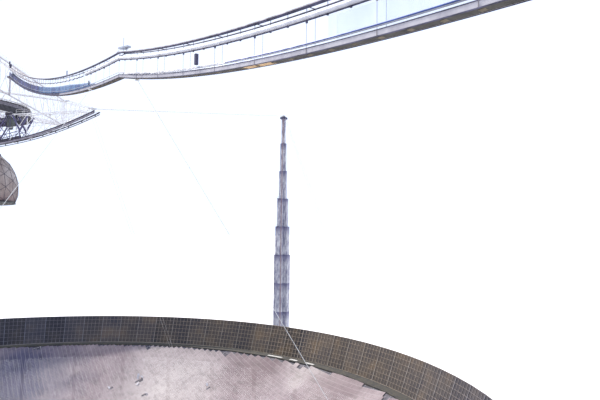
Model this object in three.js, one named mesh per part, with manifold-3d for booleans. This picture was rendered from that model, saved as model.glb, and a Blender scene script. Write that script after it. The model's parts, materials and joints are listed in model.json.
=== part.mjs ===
// Radio telescope: a fixed spherical dish under a platform hung from three concrete towers.
// This is a 1:20 scale model. The origin is on the floor under the lowest point of the dish,
// +Z is up, and the tower that the catwalk leads to stands on -Y.

import * as THREE from 'three';
import { mergeVertices } from 'three/addons/utils/BufferGeometryUtils.js';
import Module from 'manifold-3d';

const wasm = await Module();
wasm.setup();

// One metre of the real telescope, in millimetres of the model
const M = 1000 / 20;
// Space kept between two pieces that touch
const GAP = 0.3;
const SHORTEST_EDGE = 0.02;
const DEG = Math.PI / 180;
const UP = new THREE.Vector3(0, 0, 1);

// Dish
const VERTEX_Z = 6 * M;
const SPHERE_RADIUS = 265.2 * M;
const SPHERE_Z = VERTEX_Z + SPHERE_RADIUS;
const DISH_RADIUS = 152.4 * M;
const DISH_EDGE_ANGLE = Math.asin(DISH_RADIUS / SPHERE_RADIUS);
const DISH_CENTRE_ANGLE = 1.5 * DEG;
const DISH_SPLIT_ANGLE = 19.4 * DEG;
const DISH_RINGS = 4;
const DISH_STRIPS = 36;
const DISH_SECTORS = 6;
const RIM_SECTORS = 3;
const DISH_THICKNESS = 0.16 * M;
const CENTRE_BLOCK = new THREE.Vector3(4, 4, 1.4).multiplyScalar(M);
const CENTRE_ROD_RADIUS = 0.08 * M;
const STRIP_ANGLE = (2 * Math.PI) / DISH_STRIPS;

// Rim beam and its columns
const RIM_Z = SPHERE_Z - SPHERE_RADIUS * Math.cos(DISH_EDGE_ANGLE);
const RIM_OUTER_RADIUS = 159.6 * M;
const RIM_BEAM_DEPTH = 1.3 * M;
const COLUMN_RADIUS = 155.6 * M;
const COLUMN_WIDTH = 1.6 * M;

// Ground screen, a fence of mesh panels that leans outwards
const SCREEN_BAYS = 96;
const SCREEN_FOOT_RADIUS = 157 * M;
const SCREEN_TOP_RADIUS = 162.4 * M;
const SCREEN_TOP_Z = VERTEX_Z + 62.4 * M;
const SCREEN_THICKNESS = 0.12 * M;
const POST_WIDTH = 0.3 * M;
const POST_DEPTH = 0.45 * M;

// Towers: cross-shaped shafts that step outwards downwards
const TOWER_RADIUS = 213 * M;
const TOWER_TOP_Z = VERTEX_Z + 189.1 * M;
const TOWER_FIRST_STEP = 16.3 * M;
const TOWER_STEP = 18.29 * M;
const TOWER_WIDTHS = [2.42, 3.75, 4.77, 6.84, 8.65, 9.74].map((metres) => metres * M);
const TOWER_ARM_WIDTHS = [1.3, 1.5, 1.8, 2.4, 3.2, 4.0].map((metres) => metres * M);
const CAP_WIDTH = 3.55 * M;
const CAP_HEIGHT = 1.25 * M;
const SADDLE_LENGTH = 3.5 * M;
const SADDLE_WIDTH = 1.5 * M;
const SADDLE_HEIGHT = 1.3 * M;
// Where the saddle's top starts to fall, as shares of its half length and height
const SADDLE_SHOULDER = new THREE.Vector2(0.4, 0.4);

// Cables
const ROD_END = 1 * M;
const MAIN_CABLE_RADIUS = 0.04 * M;
const MAIN_CABLE_SPREAD = 0.36 * M;
const MAIN_CABLE_END_SPREAD = 0.25 * M;
const MAIN_CABLE_PLACES = [[-1.5, 0.3], [-0.5, 0.3], [0.5, 0.3], [1.5, 0.3], [-1, -0.4], [1, -0.4]];
const BACKSTAY_RADIUS = 0.042 * M;
const BACKSTAY_COUNT = 7;
const BACKSTAY_SPREAD = 0.2 * M;
// Where the backstays leave the saddle, as shares of its half length and height
const BACKSTAY_START = new THREE.Vector2(0.9, 0.3);
// Sets the backstays' heights apart, so that no two of them meet the saddle alike
const BACKSTAY_RISE = 0.015 * M;
const BACKSTAY_SHIFT = 0.4;
const ANCHOR_SPREAD = 1.3 * M;
const ANCHOR_RADIUS = 404 * M;
const ANCHOR_SIZE = new THREE.Vector3(9, 12, 5).multiplyScalar(M);
const TIE_DOWN_RADIUS = 0.03 * M;
const TIE_DOWN_FOOT_RADIUS = 134 * M;
const TIE_DOWN_SPREAD = 0.8 * M;
const TIE_DOWN_HOLE = 1.2 * M;
const TIE_DOWN_BLOCK = new THREE.Vector3(6, 6, 3).multiplyScalar(M);
const TIE_DOWN_PLATE = new THREE.Vector3(1.2, 2.8, 0.4).multiplyScalar(M);

// Platform
const CORNER_RADIUS = 36.5 * M;
const HALF_CORNER = 30 * DEG;
const PLATFORM_BOTTOM_Z = VERTEX_Z + 151 * M;
const PLATFORM_TOP_Z = VERTEX_Z + 160.4 * M;
const PLATFORM_BAYS = 10;
const PLATFORM_TRUSS_WIDTH = 0.45 * M;
const PLATFORM_BAR = 0.44 * M;
const CHORD_DEPTH = 0.7 * M;
const CORNER_COLUMN_WIDTH = 1.1 * M;
const OUTRIGGER_RADIUS = 48.7 * M;
const OUTRIGGER_SPREAD = 2.2 * M;
const OUTRIGGER_CHORD = 0.5 * M;
const OUTRIGGER_BRACE = 0.4 * M;
const FLOOR_BEAM_DEPTH = 0.9 * M;
const FLOOR_BEAM_WIDTH = 0.6 * M;
const HUB_RADIUS = 3.2 * M;
const HUB_SIDES = 12;

// Azimuth ring under the platform
const RING_RADIUS = 17.6 * M;
const RING_WIDTH = 1 * M;
const RING_BOTTOM_Z = VERTEX_Z + 147.6 * M;
const RING_SEGMENTS = 36;

// Azimuth arm: its lower edge is an arc about the dish's centre of curvature
const ARM_AZIMUTH = -50.1 * DEG;
const ARM_HALF_LENGTH = 46.4 * M;
const ARM_TOP_HALF_LENGTH = 42.5 * M;
const ARM_TOP_Z = VERTEX_Z + 146.9 * M;
const TRACK_RADIUS = 128 * M;
const TRACK_GIRDER_DEPTH = 0.77 * M;
const ARM_BAYS = 14;
const ARM_HALF_WIDTH = 1.2 * M;
const ARM_PLATE_WIDTH = 0.45 * M;
const ARM_BAR = 0.36 * M;
const AZIMUTH_TRUCK = new THREE.Vector2(2.4, 1.4).multiplyScalar(M);

// Carriages that run under the arm's two tracks
const TRACK_TRUCK = new THREE.Vector3(1.4, 0.6, 0.9).multiplyScalar(M);
const TRACK_FRAME_WIDTH = 0.6 * M;

// Dome that hangs under the arm
const DOME_DROP = 139.8 * M;
const DOME_RADIUS = 12.9 * M;
const DOME_SHELL = 0.3 * M;
const DOME_ZENITH_ANGLE = 1.4 * DEG;
const DOME_FLOOR_DROP = 4.3 * M;
const DOME_ROOF_RISE = 10.2 * M;
const DOME_ROOF_HEIGHT = 0.4 * M;
const DOME_APERTURE = 7.6 * M;
const DOME_SIDES = 24;
// Half the distance between its trucks along the track, and the length of its frame
const DOME_CARRIAGE = new THREE.Vector2(3.2, 8).multiplyScalar(M);

// Line feed and its carriage house on the arm's other half
const FEED_ZENITH_ANGLE = 9 * DEG;
const FEED_LENGTH = 29 * M;
const FEED_HOUSE = new THREE.Vector3(6, 4.6, 2.8).multiplyScalar(M);
const FEED_HOUSE_DROP = 1.1 * M;
const FEED_TRUCK_REACH = 2.2 * M;
const FEED_TOP_RADIUS = 0.45 * M;
const FEED_TIP_RADIUS = 0.15 * M;

// Catwalk: two sagging spans between the platform and the tower on -Y
const CATWALK_START = new THREE.Vector3(9.37 * M, -22.9 * M, 0);
const CATWALK_END = new THREE.Vector3(12.79 * M, -204 * M, 0);
const CATWALK_SKEW = (CATWALK_START.x - CATWALK_END.x) / (CATWALK_START.y - CATWALK_END.y);
const CATWALK_START_Z = VERTEX_Z + 155.6 * M;
const CATWALK_KNEE_Z = VERTEX_Z + 133.1 * M;
const CATWALK_END_Z = VERTEX_Z + 123.1 * M;
const CATWALK_SAGS = [3.6 * M, 2.7 * M];
const CATWALK_GUY_FOOT_RADIUS = 154.5 * M;
// Each guy's place along the catwalk and the direction in which its foot stands on the rim
const CATWALK_GUYS = [['east', 0.5734, -66.5 * DEG], ['west', 0.4696, -107.1 * DEG]];
const GUY_BRACKET = new THREE.Vector3(0.5, 0.1, 0.2).multiplyScalar(M);
const CATWALK_BAYS = 33;
const CATWALK_KNEE = 18 / CATWALK_BAYS;
const CATWALK_WIDTH = 0.6 * M;
const CATWALK_DECK_DEPTH = 0.37 * M;
const CATWALK_HEIGHT = 3.19 * M;
const RAIL_WIDTH = 0.064 * M;
const RAIL_POST_WIDTH = 0.14 * M;
// Heights of the openings in each railing, in metres. The duct on the west side is the band
// between its upper two openings
const RAIL_OPENINGS = [
  { name: 'west', side: 1, openings: [[0.37, 0.62], [0.71, 2.4], [2.74, 3.08]] },
  { name: 'east', side: -1, openings: [[0.37, 0.62], [0.71, 3.08]] },
];
// Half the catwalk's width over its railings
const CATWALK_REACH = CATWALK_WIDTH / 2 + RAIL_WIDTH + GAP;

const finishes = {
  panels: new THREE.MeshStandardMaterial({ color: 0xcfc5c0, roughness: 0.6, metalness: 0.4 }),
  mesh: new THREE.MeshStandardMaterial({ color: 0x6d6459, roughness: 0.7, metalness: 0.4 }),
  concrete: new THREE.MeshStandardMaterial({ color: 0xb9b2a8, roughness: 0.9, metalness: 0 }),
  steel: new THREE.MeshStandardMaterial({ color: 0x6f6e70, roughness: 0.5, metalness: 0.6 }),
  cable: new THREE.MeshStandardMaterial({ color: 0x8d8f92, roughness: 0.4, metalness: 0.8 }),
  dome: new THREE.MeshStandardMaterial({ color: 0x8a7f78, roughness: 0.5, metalness: 0.5 }),
  catwalk: new THREE.MeshStandardMaterial({ color: 0x8fa0b4, roughness: 0.6, metalness: 0.4 }),
};

function node(name, material, geometry) {
  geometry.computeVertexNormals();
  const mesh = new THREE.Mesh(geometry, material);
  mesh.name = name;
  return mesh;
}

function toSolid(geometry) {
  const plain = geometry.clone();
  plain.deleteAttribute('uv');
  plain.deleteAttribute('normal');
  const merged = mergeVertices(plain);
  return new wasm.Manifold(new wasm.Mesh({
    numProp: 3,
    vertProperties: new Float32Array(merged.attributes.position.array),
    triVerts: new Uint32Array(merged.index.array),
  }));
}

// Edges shorter than the tolerance are left out, since they make slivers
function toGeometry(solid) {
  const result = solid.simplify(SHORTEST_EDGE).getMesh();
  const geometry = new THREE.BufferGeometry();
  geometry.setAttribute('position', new THREE.BufferAttribute(result.vertProperties, 3));
  geometry.setIndex(new THREE.BufferAttribute(result.triVerts, 1));
  return geometry;
}

// Solids that cross each other, joined into one
function fuse(...geometries) {
  return toGeometry(geometries.map(toSolid).reduce((whole, part) => whole.add(part)));
}

function cut(geometry, ...cutters) {
  return toGeometry(cutters.map(toSolid).reduce((rest, cutter) => rest.subtract(cutter), toSolid(geometry)));
}

function common(geometry, other) {
  return toGeometry(toSolid(geometry).intersect(toSolid(other)));
}

function box(size, x, y, z) {
  return new THREE.BoxGeometry(size.x, size.y, size.z).translate(x, y, z);
}

// Turns a geometry whose length lies along X so that it runs from start to end
function layAlong(geometry, start, end) {
  const along = end.clone().sub(start).normalize();
  const side = Math.abs(along.z) > 0.99 ? new THREE.Vector3(0, 1, 0) : UP.clone().cross(along).normalize();
  const above = along.clone().cross(side);
  const middle = start.clone().add(end).multiplyScalar(0.5);
  return geometry.applyMatrix4(new THREE.Matrix4().makeBasis(along, side, above).setPosition(middle));
}

function bar(start, end, width, depth) {
  return layAlong(new THREE.BoxGeometry(start.distanceTo(end), width, depth), start, end);
}

// A six-sided rod, with a ring of corners near each end where it enters other pieces
function rod(start, end, radius) {
  const sides = 6;
  const lengthSteps = 3;
  const half = start.distanceTo(end) / 2;
  const straight = new THREE.CylinderGeometry(radius, radius, 2 * half, sides, lengthSteps);
  const corners = straight.attributes.position;
  for (let i = 0; i < corners.count; i += 1) {
    const along = corners.getY(i);
    if (Math.abs(along) < half - SHORTEST_EDGE) {
      corners.setY(i, Math.sign(along) * (half - ROD_END));
    }
  }
  return layAlong(straight.rotateZ(Math.PI / 2), start, end);
}

function point(x, y, z) {
  return new THREE.Vector3(x, y, z);
}

// The corners of a flat outline moved inwards, each edge by its own distance
function insetOutline(corners, distances) {
  const lines = corners.map((corner, i) => {
    const next = corners[(i + 1) % corners.length];
    const along = next.clone().sub(corner).normalize();
    const inward = new THREE.Vector2(-along.y, along.x);
    return { start: corner.clone().addScaledVector(inward, distances[i]), along };
  });
  return lines.map((line, i) => {
    const before = lines[(i + lines.length - 1) % lines.length];
    const offset = line.start.clone().sub(before.start);
    const share = offset.cross(line.along) / before.along.cross(line.along);
    return before.start.clone().addScaledVector(before.along, share);
  });
}

// A ring round the Z axis from an outline of (radius, height) corners
function ring(outline, segments) {
  return new THREE.LatheGeometry([...outline, outline[0].clone()], segments).rotateX(Math.PI / 2);
}

// A wedge about the Z axis, as wide as one sector less the gap to its neighbours
function wedge(middle, halfAngle, radius, top) {
  const reach = radius * Math.tan(halfAngle);
  const corners = [
    new THREE.Vector2(0, 0),
    new THREE.Vector2(radius, -reach),
    new THREE.Vector2(radius, reach),
  ];
  const outline = new THREE.Shape(insetOutline(corners, [GAP / 2, 0, GAP / 2]));
  return new THREE.ExtrudeGeometry(outline, { depth: top, bevelEnabled: false }).rotateZ(middle);
}

// The part of a ring that lies in one of its sectors
function sectorOf(geometry, sector, count) {
  const halfAngle = Math.PI / count;
  return common(geometry, wedge((2 * sector + 1) * halfAngle, halfAngle, 200 * M, 100 * M));
}

// Copies of a solid turned about the Z axis
function turned(geometry, first, step, count) {
  return Array.from({ length: count }, (_, i) => geometry.clone().rotateZ(first + step * i));
}

// A plate in the XZ plane with holes through it
function piercedPlate(outline, holes, thickness) {
  const extrude = (corners, depth) => {
    const slab = new THREE.ExtrudeGeometry(new THREE.Shape(corners), { depth, bevelEnabled: false });
    return slab.translate(0, 0, -depth / 2);
  };
  const plate = extrude(outline, thickness);
  const cutters = holes.map((hole) => extrude(hole, 2 * thickness));
  return cut(plate, ...cutters).rotateX(Math.PI / 2);
}

// Triangular cells between a top and a bottom row of points, with a diagonal in each bay
function bayCells(topPoints, bottomPoints, halfBar) {
  const bays = topPoints.length - 1;
  const cells = [];
  for (let i = 0; i < bays; i += 1) {
    const [bottomLeft, bottomRight] = [bottomPoints[i], bottomPoints[i + 1]];
    const [topLeft, topRight] = [topPoints[i], topPoints[i + 1]];
    const rising = i < bays / 2;
    const triangles = rising
      ? [[bottomLeft, bottomRight, topRight], [bottomLeft, topRight, topLeft]]
      : [[bottomLeft, bottomRight, topLeft], [bottomRight, topRight, topLeft]];
    for (const corners of triangles) {
      cells.push(insetOutline(corners, [halfBar, halfBar, halfBar]));
    }
  }
  return cells;
}

// The three corners of the platform and the three towers share these directions
const SIDES = [
  { name: 'south', angle: -90 * DEG, steps: 5 },
  { name: 'east', angle: 30 * DEG, steps: 6 },
  { name: 'west', angle: 150 * DEG, steps: 5 },
];

// A point on the dish's upper face, or on its underside, as (radius, height)
function dishPoint(angle, depth = 0) {
  const distance = SPHERE_RADIUS + depth;
  return new THREE.Vector2(distance * Math.sin(angle), SPHERE_Z - distance * Math.cos(angle));
}

// The dish between two angles from its axis
function dishBand(from, to) {
  const angles = Array.from({ length: DISH_RINGS + 1 }, (_, i) => from + ((to - from) * i) / DISH_RINGS);
  const underside = angles.map((angle) => dishPoint(angle, DISH_THICKNESS));
  const face = angles.map((angle) => dishPoint(angle)).reverse();
  return ring([...underside, ...face], DISH_STRIPS);
}

// Where a tie-down cable of the corner on +X starts and ends
function tieDownEnds(side) {
  return {
    top: point(OUTRIGGER_RADIUS, side, PLATFORM_TOP_Z - CHORD_DEPTH),
    foot: point(TIE_DOWN_FOOT_RADIUS, side, TIE_DOWN_BLOCK.z),
  };
}

function reflector() {
  const group = new THREE.Group();
  const centreHeight = dishPoint(DISH_CENTRE_ANGLE).y;
  const centreRadius = dishPoint(DISH_CENTRE_ANGLE).x - GAP;
  const centre = new THREE.CylinderGeometry(centreRadius, centreRadius, DISH_THICKNESS, DISH_STRIPS);
  centre.rotateX(Math.PI / 2).translate(0, 0, centreHeight - DISH_THICKNESS / 2);
  group.add(node('reflector_centre', finishes.panels, centre));

  const block = box(CENTRE_BLOCK, 0, 0, CENTRE_BLOCK.z / 2);
  const rodTop = centreHeight - DISH_THICKNESS - GAP;
  const tieRod = rod(point(0, 0, CENTRE_BLOCK.z / 2), point(0, 0, rodTop), CENTRE_ROD_RADIUS);
  group.add(node('centre_block', finishes.concrete, fuse(block, tieRod)));

  const { top, foot } = tieDownEnds(0);
  const tieDownHole = bar(top, foot, 2 * TIE_DOWN_SPREAD + TIE_DOWN_HOLE, TIE_DOWN_HOLE);
  const holes = SIDES.map((side) => tieDownHole.clone().rotateZ(side.angle));
  const inner = dishBand(DISH_CENTRE_ANGLE, DISH_SPLIT_ANGLE);
  const outer = cut(dishBand(DISH_SPLIT_ANGLE + GAP / SPHERE_RADIUS, DISH_EDGE_ANGLE), ...holes);
  for (const [name, band] of [['inner', inner], ['outer', outer]]) {
    for (let sector = 0; sector < DISH_SECTORS; sector += 1) {
      const piece = sectorOf(band, sector, DISH_SECTORS);
      group.add(node(`reflector_${name}_${sector + 1}`, finishes.panels, piece));
    }
  }
  return group;
}

function rim() {
  const group = new THREE.Group();
  const bottom = RIM_Z - RIM_BEAM_DEPTH;
  const innerRadius = dishPoint(DISH_EDGE_ANGLE, DISH_THICKNESS).x + GAP / Math.cos(STRIP_ANGLE / 2);
  const beam = ring([
    new THREE.Vector2(innerRadius, bottom),
    new THREE.Vector2(RIM_OUTER_RADIUS, bottom),
    new THREE.Vector2(RIM_OUTER_RADIUS, RIM_Z),
    new THREE.Vector2(innerRadius, RIM_Z),
  ], DISH_STRIPS);
  const columnHeight = bottom + RIM_BEAM_DEPTH / 2;
  const column = box(point(COLUMN_WIDTH, COLUMN_WIDTH, columnHeight), COLUMN_RADIUS, 0, columnHeight / 2);
  const perSector = DISH_STRIPS / RIM_SECTORS;
  for (let sector = 0; sector < RIM_SECTORS; sector += 1) {
    const first = (sector * perSector + 0.5) * STRIP_ANGLE;
    const columns = turned(column, first, STRIP_ANGLE, perSector);
    const whole = fuse(sectorOf(beam, sector, RIM_SECTORS), ...columns);
    group.add(node(`rim_beam_${sector + 1}`, finishes.concrete, whole));
  }
  return group;
}

function groundScreen() {
  const group = new THREE.Group();
  const bayAngle = (2 * Math.PI) / SCREEN_BAYS;
  const lean = Math.atan2(SCREEN_TOP_RADIUS - SCREEN_FOOT_RADIUS, SCREEN_TOP_Z - RIM_Z);
  const footZ = RIM_Z + GAP;
  const fence = ring([
    new THREE.Vector2(SCREEN_FOOT_RADIUS, footZ),
    new THREE.Vector2(SCREEN_FOOT_RADIUS + SCREEN_THICKNESS, footZ),
    new THREE.Vector2(SCREEN_TOP_RADIUS + SCREEN_THICKNESS, SCREEN_TOP_Z),
    new THREE.Vector2(SCREEN_TOP_RADIUS, SCREEN_TOP_Z),
  ], SCREEN_BAYS);
  const outward = POST_DEPTH / 2;
  const foot = point(SCREEN_FOOT_RADIUS + outward, 0, footZ + (POST_DEPTH / 2) * Math.sin(lean));
  const head = point(SCREEN_TOP_RADIUS + outward, 0, SCREEN_TOP_Z);
  const post = bar(foot, head, POST_WIDTH, POST_DEPTH);
  const perSector = SCREEN_BAYS / RIM_SECTORS;
  for (let sector = 0; sector < RIM_SECTORS; sector += 1) {
    const posts = turned(post, sector * perSector * bayAngle, bayAngle, perSector + 1);
    const whole = sectorOf(fuse(fence, ...posts), sector, RIM_SECTORS);
    group.add(node(`ground_screen_${sector + 1}`, finishes.mesh, whole));
  }
  return group;
}

// Height of the ledge on top of a step of a tower, counted from its cap
function towerLedgeZ(step) {
  return TOWER_TOP_Z - CAP_HEIGHT - TOWER_FIRST_STEP - (step - 1) * TOWER_STEP;
}

function towerShaft(steps) {
  const shaftTop = TOWER_TOP_Z - CAP_HEIGHT;
  const blocks = [box(point(CAP_WIDTH, CAP_WIDTH, CAP_HEIGHT), 0, 0, shaftTop + CAP_HEIGHT / 2)];
  for (let step = 0; step < steps; step += 1) {
    const top = step === 0 ? shaftTop : towerLedgeZ(step);
    const bottom = step === steps - 1 ? 0 : towerLedgeZ(step + 1);
    const [width, armWidth] = [TOWER_WIDTHS[step], TOWER_ARM_WIDTHS[step]];
    const middle = (top + bottom) / 2;
    blocks.push(box(point(width, armWidth, top - bottom), 0, 0, middle));
    blocks.push(box(point(armWidth, width, top - bottom), 0, 0, middle));
  }
  return fuse(...blocks);
}

// Half of the steel saddle on a tower's cap, on the side that the cables leave by
function saddle(side) {
  const half = SADDLE_LENGTH / 2;
  const outline = new THREE.Shape([
    new THREE.Vector2(GAP / 2, 0),
    new THREE.Vector2(half, 0),
    new THREE.Vector2(half, SADDLE_HEIGHT * SADDLE_SHOULDER.y),
    new THREE.Vector2(half * SADDLE_SHOULDER.x, SADDLE_HEIGHT),
    new THREE.Vector2(GAP / 2, SADDLE_HEIGHT),
  ]);
  const block = new THREE.ExtrudeGeometry(outline, { depth: SADDLE_WIDTH, bevelEnabled: false });
  block.rotateX(Math.PI / 2).translate(0, SADDLE_WIDTH / 2, 0);
  return block.rotateZ(side > 0 ? 0 : Math.PI).translate(TOWER_RADIUS, 0, TOWER_TOP_Z + GAP);
}

// The end of a cable needs this much trim to stay off a face that it meets at a slant
function trimAt(slant, radius) {
  return radius * Math.tan(slant) + GAP / Math.cos(slant);
}

function trimmedRod(start, end, radius, slant) {
  const along = end.clone().sub(start).normalize();
  return rod(start, end.clone().addScaledVector(along, -trimAt(slant, radius)), radius);
}

// Six cables from a tower's saddle to the block at the tip of a platform corner
function mainCables() {
  const start = point(TOWER_RADIUS - SADDLE_LENGTH / 4, 0, TOWER_TOP_Z + SADDLE_HEIGHT / 2);
  const end = point(OUTRIGGER_RADIUS + CORNER_COLUMN_WIDTH / 2, 0, PLATFORM_TOP_Z - CHORD_DEPTH / 2);
  const slant = Math.atan2(start.z - end.z, start.x - end.x);
  const pieces = [saddle(-1)];
  for (const [side, height] of MAIN_CABLE_PLACES) {
    const from = start.clone().add(point(0, side * MAIN_CABLE_SPREAD, height * MAIN_CABLE_SPREAD));
    const to = end.clone().add(point(0, side * MAIN_CABLE_END_SPREAD, height * MAIN_CABLE_END_SPREAD));
    pieces.push(trimmedRod(from, to, MAIN_CABLE_RADIUS, slant));
  }
  return fuse(...pieces);
}

function backstays() {
  const reach = (BACKSTAY_START.x * SADDLE_LENGTH) / 2;
  const start = point(TOWER_RADIUS + reach, 0, TOWER_TOP_Z + BACKSTAY_START.y * SADDLE_HEIGHT);
  const end = point(ANCHOR_RADIUS - ANCHOR_SIZE.x / 2, 0, ANCHOR_SIZE.z / 2);
  const slant = Math.atan2(start.z - end.z, end.x - start.x);
  const pieces = [saddle(1)];
  for (let i = 0; i < BACKSTAY_COUNT; i += 1) {
    const side = i - (BACKSTAY_COUNT - 1) / 2;
    const rise = BACKSTAY_RISE * (side + BACKSTAY_SHIFT) ** 2;
    const from = start.clone().add(point(0, side * BACKSTAY_SPREAD, rise));
    const to = end.clone().add(point(0, side * ANCHOR_SPREAD, 0));
    pieces.push(trimmedRod(from, to, BACKSTAY_RADIUS, slant));
  }
  return fuse(...pieces);
}

function towers() {
  const group = new THREE.Group();
  for (const side of SIDES) {
    const tower = new THREE.Group();
    tower.rotation.z = side.angle;
    const shaft = towerShaft(side.steps).translate(TOWER_RADIUS, 0, 0);
    tower.add(node(`${side.name}_tower`, finishes.concrete, shaft));
    tower.add(node(`main_cables_${side.name}`, finishes.cable, mainCables()));
    tower.add(node(`backstays_${side.name}`, finishes.cable, backstays()));
    const anchor = box(ANCHOR_SIZE, ANCHOR_RADIUS, 0, ANCHOR_SIZE.z / 2);
    tower.add(node(`anchor_block_${side.name}`, finishes.concrete, anchor));
    group.add(tower);
  }
  return group;
}

// Column, outrigger and cable block at one corner of the platform
function platformCorner() {
  const bottom = PLATFORM_BOTTOM_Z + GAP;
  const column = point(CORNER_COLUMN_WIDTH, CORNER_COLUMN_WIDTH, PLATFORM_TOP_Z - bottom);
  const head = point(CORNER_COLUMN_WIDTH, 2 * OUTRIGGER_SPREAD, CHORD_DEPTH);
  const tip = point(CORNER_COLUMN_WIDTH, 2 * TIE_DOWN_SPREAD + CORNER_COLUMN_WIDTH, CHORD_DEPTH);
  const chordZ = PLATFORM_TOP_Z - CHORD_DEPTH / 2;
  const pieces = [
    box(column, CORNER_RADIUS, 0, (PLATFORM_TOP_Z + bottom) / 2),
    box(head, CORNER_RADIUS, 0, chordZ),
    box(tip, OUTRIGGER_RADIUS, 0, chordZ),
  ];
  for (const side of [-1, 1]) {
    const root = point(CORNER_RADIUS, side * (OUTRIGGER_SPREAD - OUTRIGGER_CHORD / 2), chordZ);
    const end = point(OUTRIGGER_RADIUS, side * TIE_DOWN_SPREAD, chordZ);
    const below = point(CORNER_RADIUS, 0, bottom + CHORD_DEPTH);
    pieces.push(bar(root, end, OUTRIGGER_CHORD, OUTRIGGER_CHORD));
    pieces.push(bar(below, end, OUTRIGGER_BRACE, OUTRIGGER_BRACE));
  }
  return fuse(...pieces);
}

function platformTruss() {
  const inradius = CORNER_RADIUS / 2;
  const headReach = CORNER_COLUMN_WIDTH / 2 + (PLATFORM_TRUSS_WIDTH / 2) * Math.sin(HALF_CORNER) + GAP;
  const half = CORNER_RADIUS * Math.sin(2 * HALF_CORNER) - headReach / Math.cos(HALF_CORNER);
  const bottom = PLATFORM_BOTTOM_Z + GAP;
  const outline = [
    new THREE.Vector2(-half, bottom),
    new THREE.Vector2(half, bottom),
    new THREE.Vector2(half, PLATFORM_TOP_Z),
    new THREE.Vector2(-half, PLATFORM_TOP_Z),
  ];
  const stations = Array.from({ length: PLATFORM_BAYS + 1 }, (_, i) => {
    const reach = half - CHORD_DEPTH / 2;
    return -reach + (2 * reach * i) / PLATFORM_BAYS;
  });
  const tops = stations.map((x) => new THREE.Vector2(x, PLATFORM_TOP_Z - CHORD_DEPTH / 2));
  const bottoms = stations.map((x) => new THREE.Vector2(x, bottom + CHORD_DEPTH / 2));
  const plate = piercedPlate(outline, bayCells(tops, bottoms, PLATFORM_BAR / 2), PLATFORM_TRUSS_WIDTH);
  return plate.rotateZ(Math.PI / 2).translate(inradius, 0, 0);
}

function platform() {
  const group = new THREE.Group();
  const bottom = PLATFORM_BOTTOM_Z + GAP;
  const beamZ = bottom + FLOOR_BEAM_DEPTH / 2;
  const insideCorner = PLATFORM_TRUSS_WIDTH / 2 / Math.sin(HALF_CORNER);
  const cornerReach = CORNER_RADIUS - insideCorner - (FLOOR_BEAM_WIDTH / 2 + GAP) / Math.tan(HALF_CORNER);
  const trussReach = CORNER_RADIUS / 2 - PLATFORM_TRUSS_WIDTH / 2 - GAP;
  const hub = new THREE.CylinderGeometry(HUB_RADIUS, HUB_RADIUS, FLOOR_BEAM_DEPTH, HUB_SIDES);
  const floorPieces = [hub.rotateX(Math.PI / 2).translate(0, 0, beamZ)];
  for (const side of SIDES) {
    const corner = new THREE.Group();
    corner.rotation.z = side.angle;
    corner.add(node(`platform_corner_${side.name}`, finishes.steel, platformCorner()));
    group.add(corner);

    const oppositeAngle = side.angle + Math.PI;
    const truss = new THREE.Group();
    truss.rotation.z = oppositeAngle;
    truss.add(node(`platform_truss_opposite_${side.name}`, finishes.steel, platformTruss()));
    group.add(truss);

    for (const [reach, angle] of [[cornerReach, side.angle], [trussReach, oppositeAngle]]) {
      const size = point(reach, FLOOR_BEAM_WIDTH, FLOOR_BEAM_DEPTH);
      floorPieces.push(box(size, reach / 2, 0, beamZ).rotateZ(angle));
    }
  }
  group.add(node('platform_floor_beams', finishes.steel, fuse(...floorPieces)));

  const [inner, outer] = [RING_RADIUS - RING_WIDTH / 2, RING_RADIUS + RING_WIDTH / 2];
  const azimuthRing = ring([
    new THREE.Vector2(inner, RING_BOTTOM_Z),
    new THREE.Vector2(outer, RING_BOTTOM_Z),
    new THREE.Vector2(outer, PLATFORM_BOTTOM_Z),
    new THREE.Vector2(inner, PLATFORM_BOTTOM_Z),
  ], RING_SEGMENTS);
  group.add(node('azimuth_ring', finishes.steel, azimuthRing));
  return group;
}

// A pair of cables from the tip of a platform corner, joined by a plate on its foot block
function tieDownPair() {
  const pieces = [];
  for (const offset of [-TIE_DOWN_SPREAD, TIE_DOWN_SPREAD]) {
    const { top, foot } = tieDownEnds(offset);
    const end = foot.clone().add(point(0, 0, TIE_DOWN_PLATE.z / 2));
    const slant = Math.atan2(foot.x - top.x, top.z - foot.z);
    pieces.push(trimmedRod(end, top, TIE_DOWN_RADIUS, slant));
  }
  const plateZ = TIE_DOWN_BLOCK.z + GAP + TIE_DOWN_PLATE.z / 2;
  pieces.push(box(TIE_DOWN_PLATE, TIE_DOWN_FOOT_RADIUS, 0, plateZ));
  return fuse(...pieces);
}

function tieDowns() {
  const group = new THREE.Group();
  for (const side of SIDES) {
    const pair = new THREE.Group();
    pair.rotation.z = side.angle;
    pair.add(node(`tie_down_cables_${side.name}`, finishes.cable, tieDownPair()));
    const block = box(TIE_DOWN_BLOCK, TIE_DOWN_FOOT_RADIUS, 0, TIE_DOWN_BLOCK.z / 2);
    pair.add(node(`tie_down_block_${side.name}`, finishes.concrete, block));
    group.add(pair);
  }
  return group;
}

// Height of the track under the arm at a distance along it
function trackZ(along) {
  return SPHERE_Z - Math.sqrt(TRACK_RADIUS ** 2 - along ** 2);
}

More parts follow.
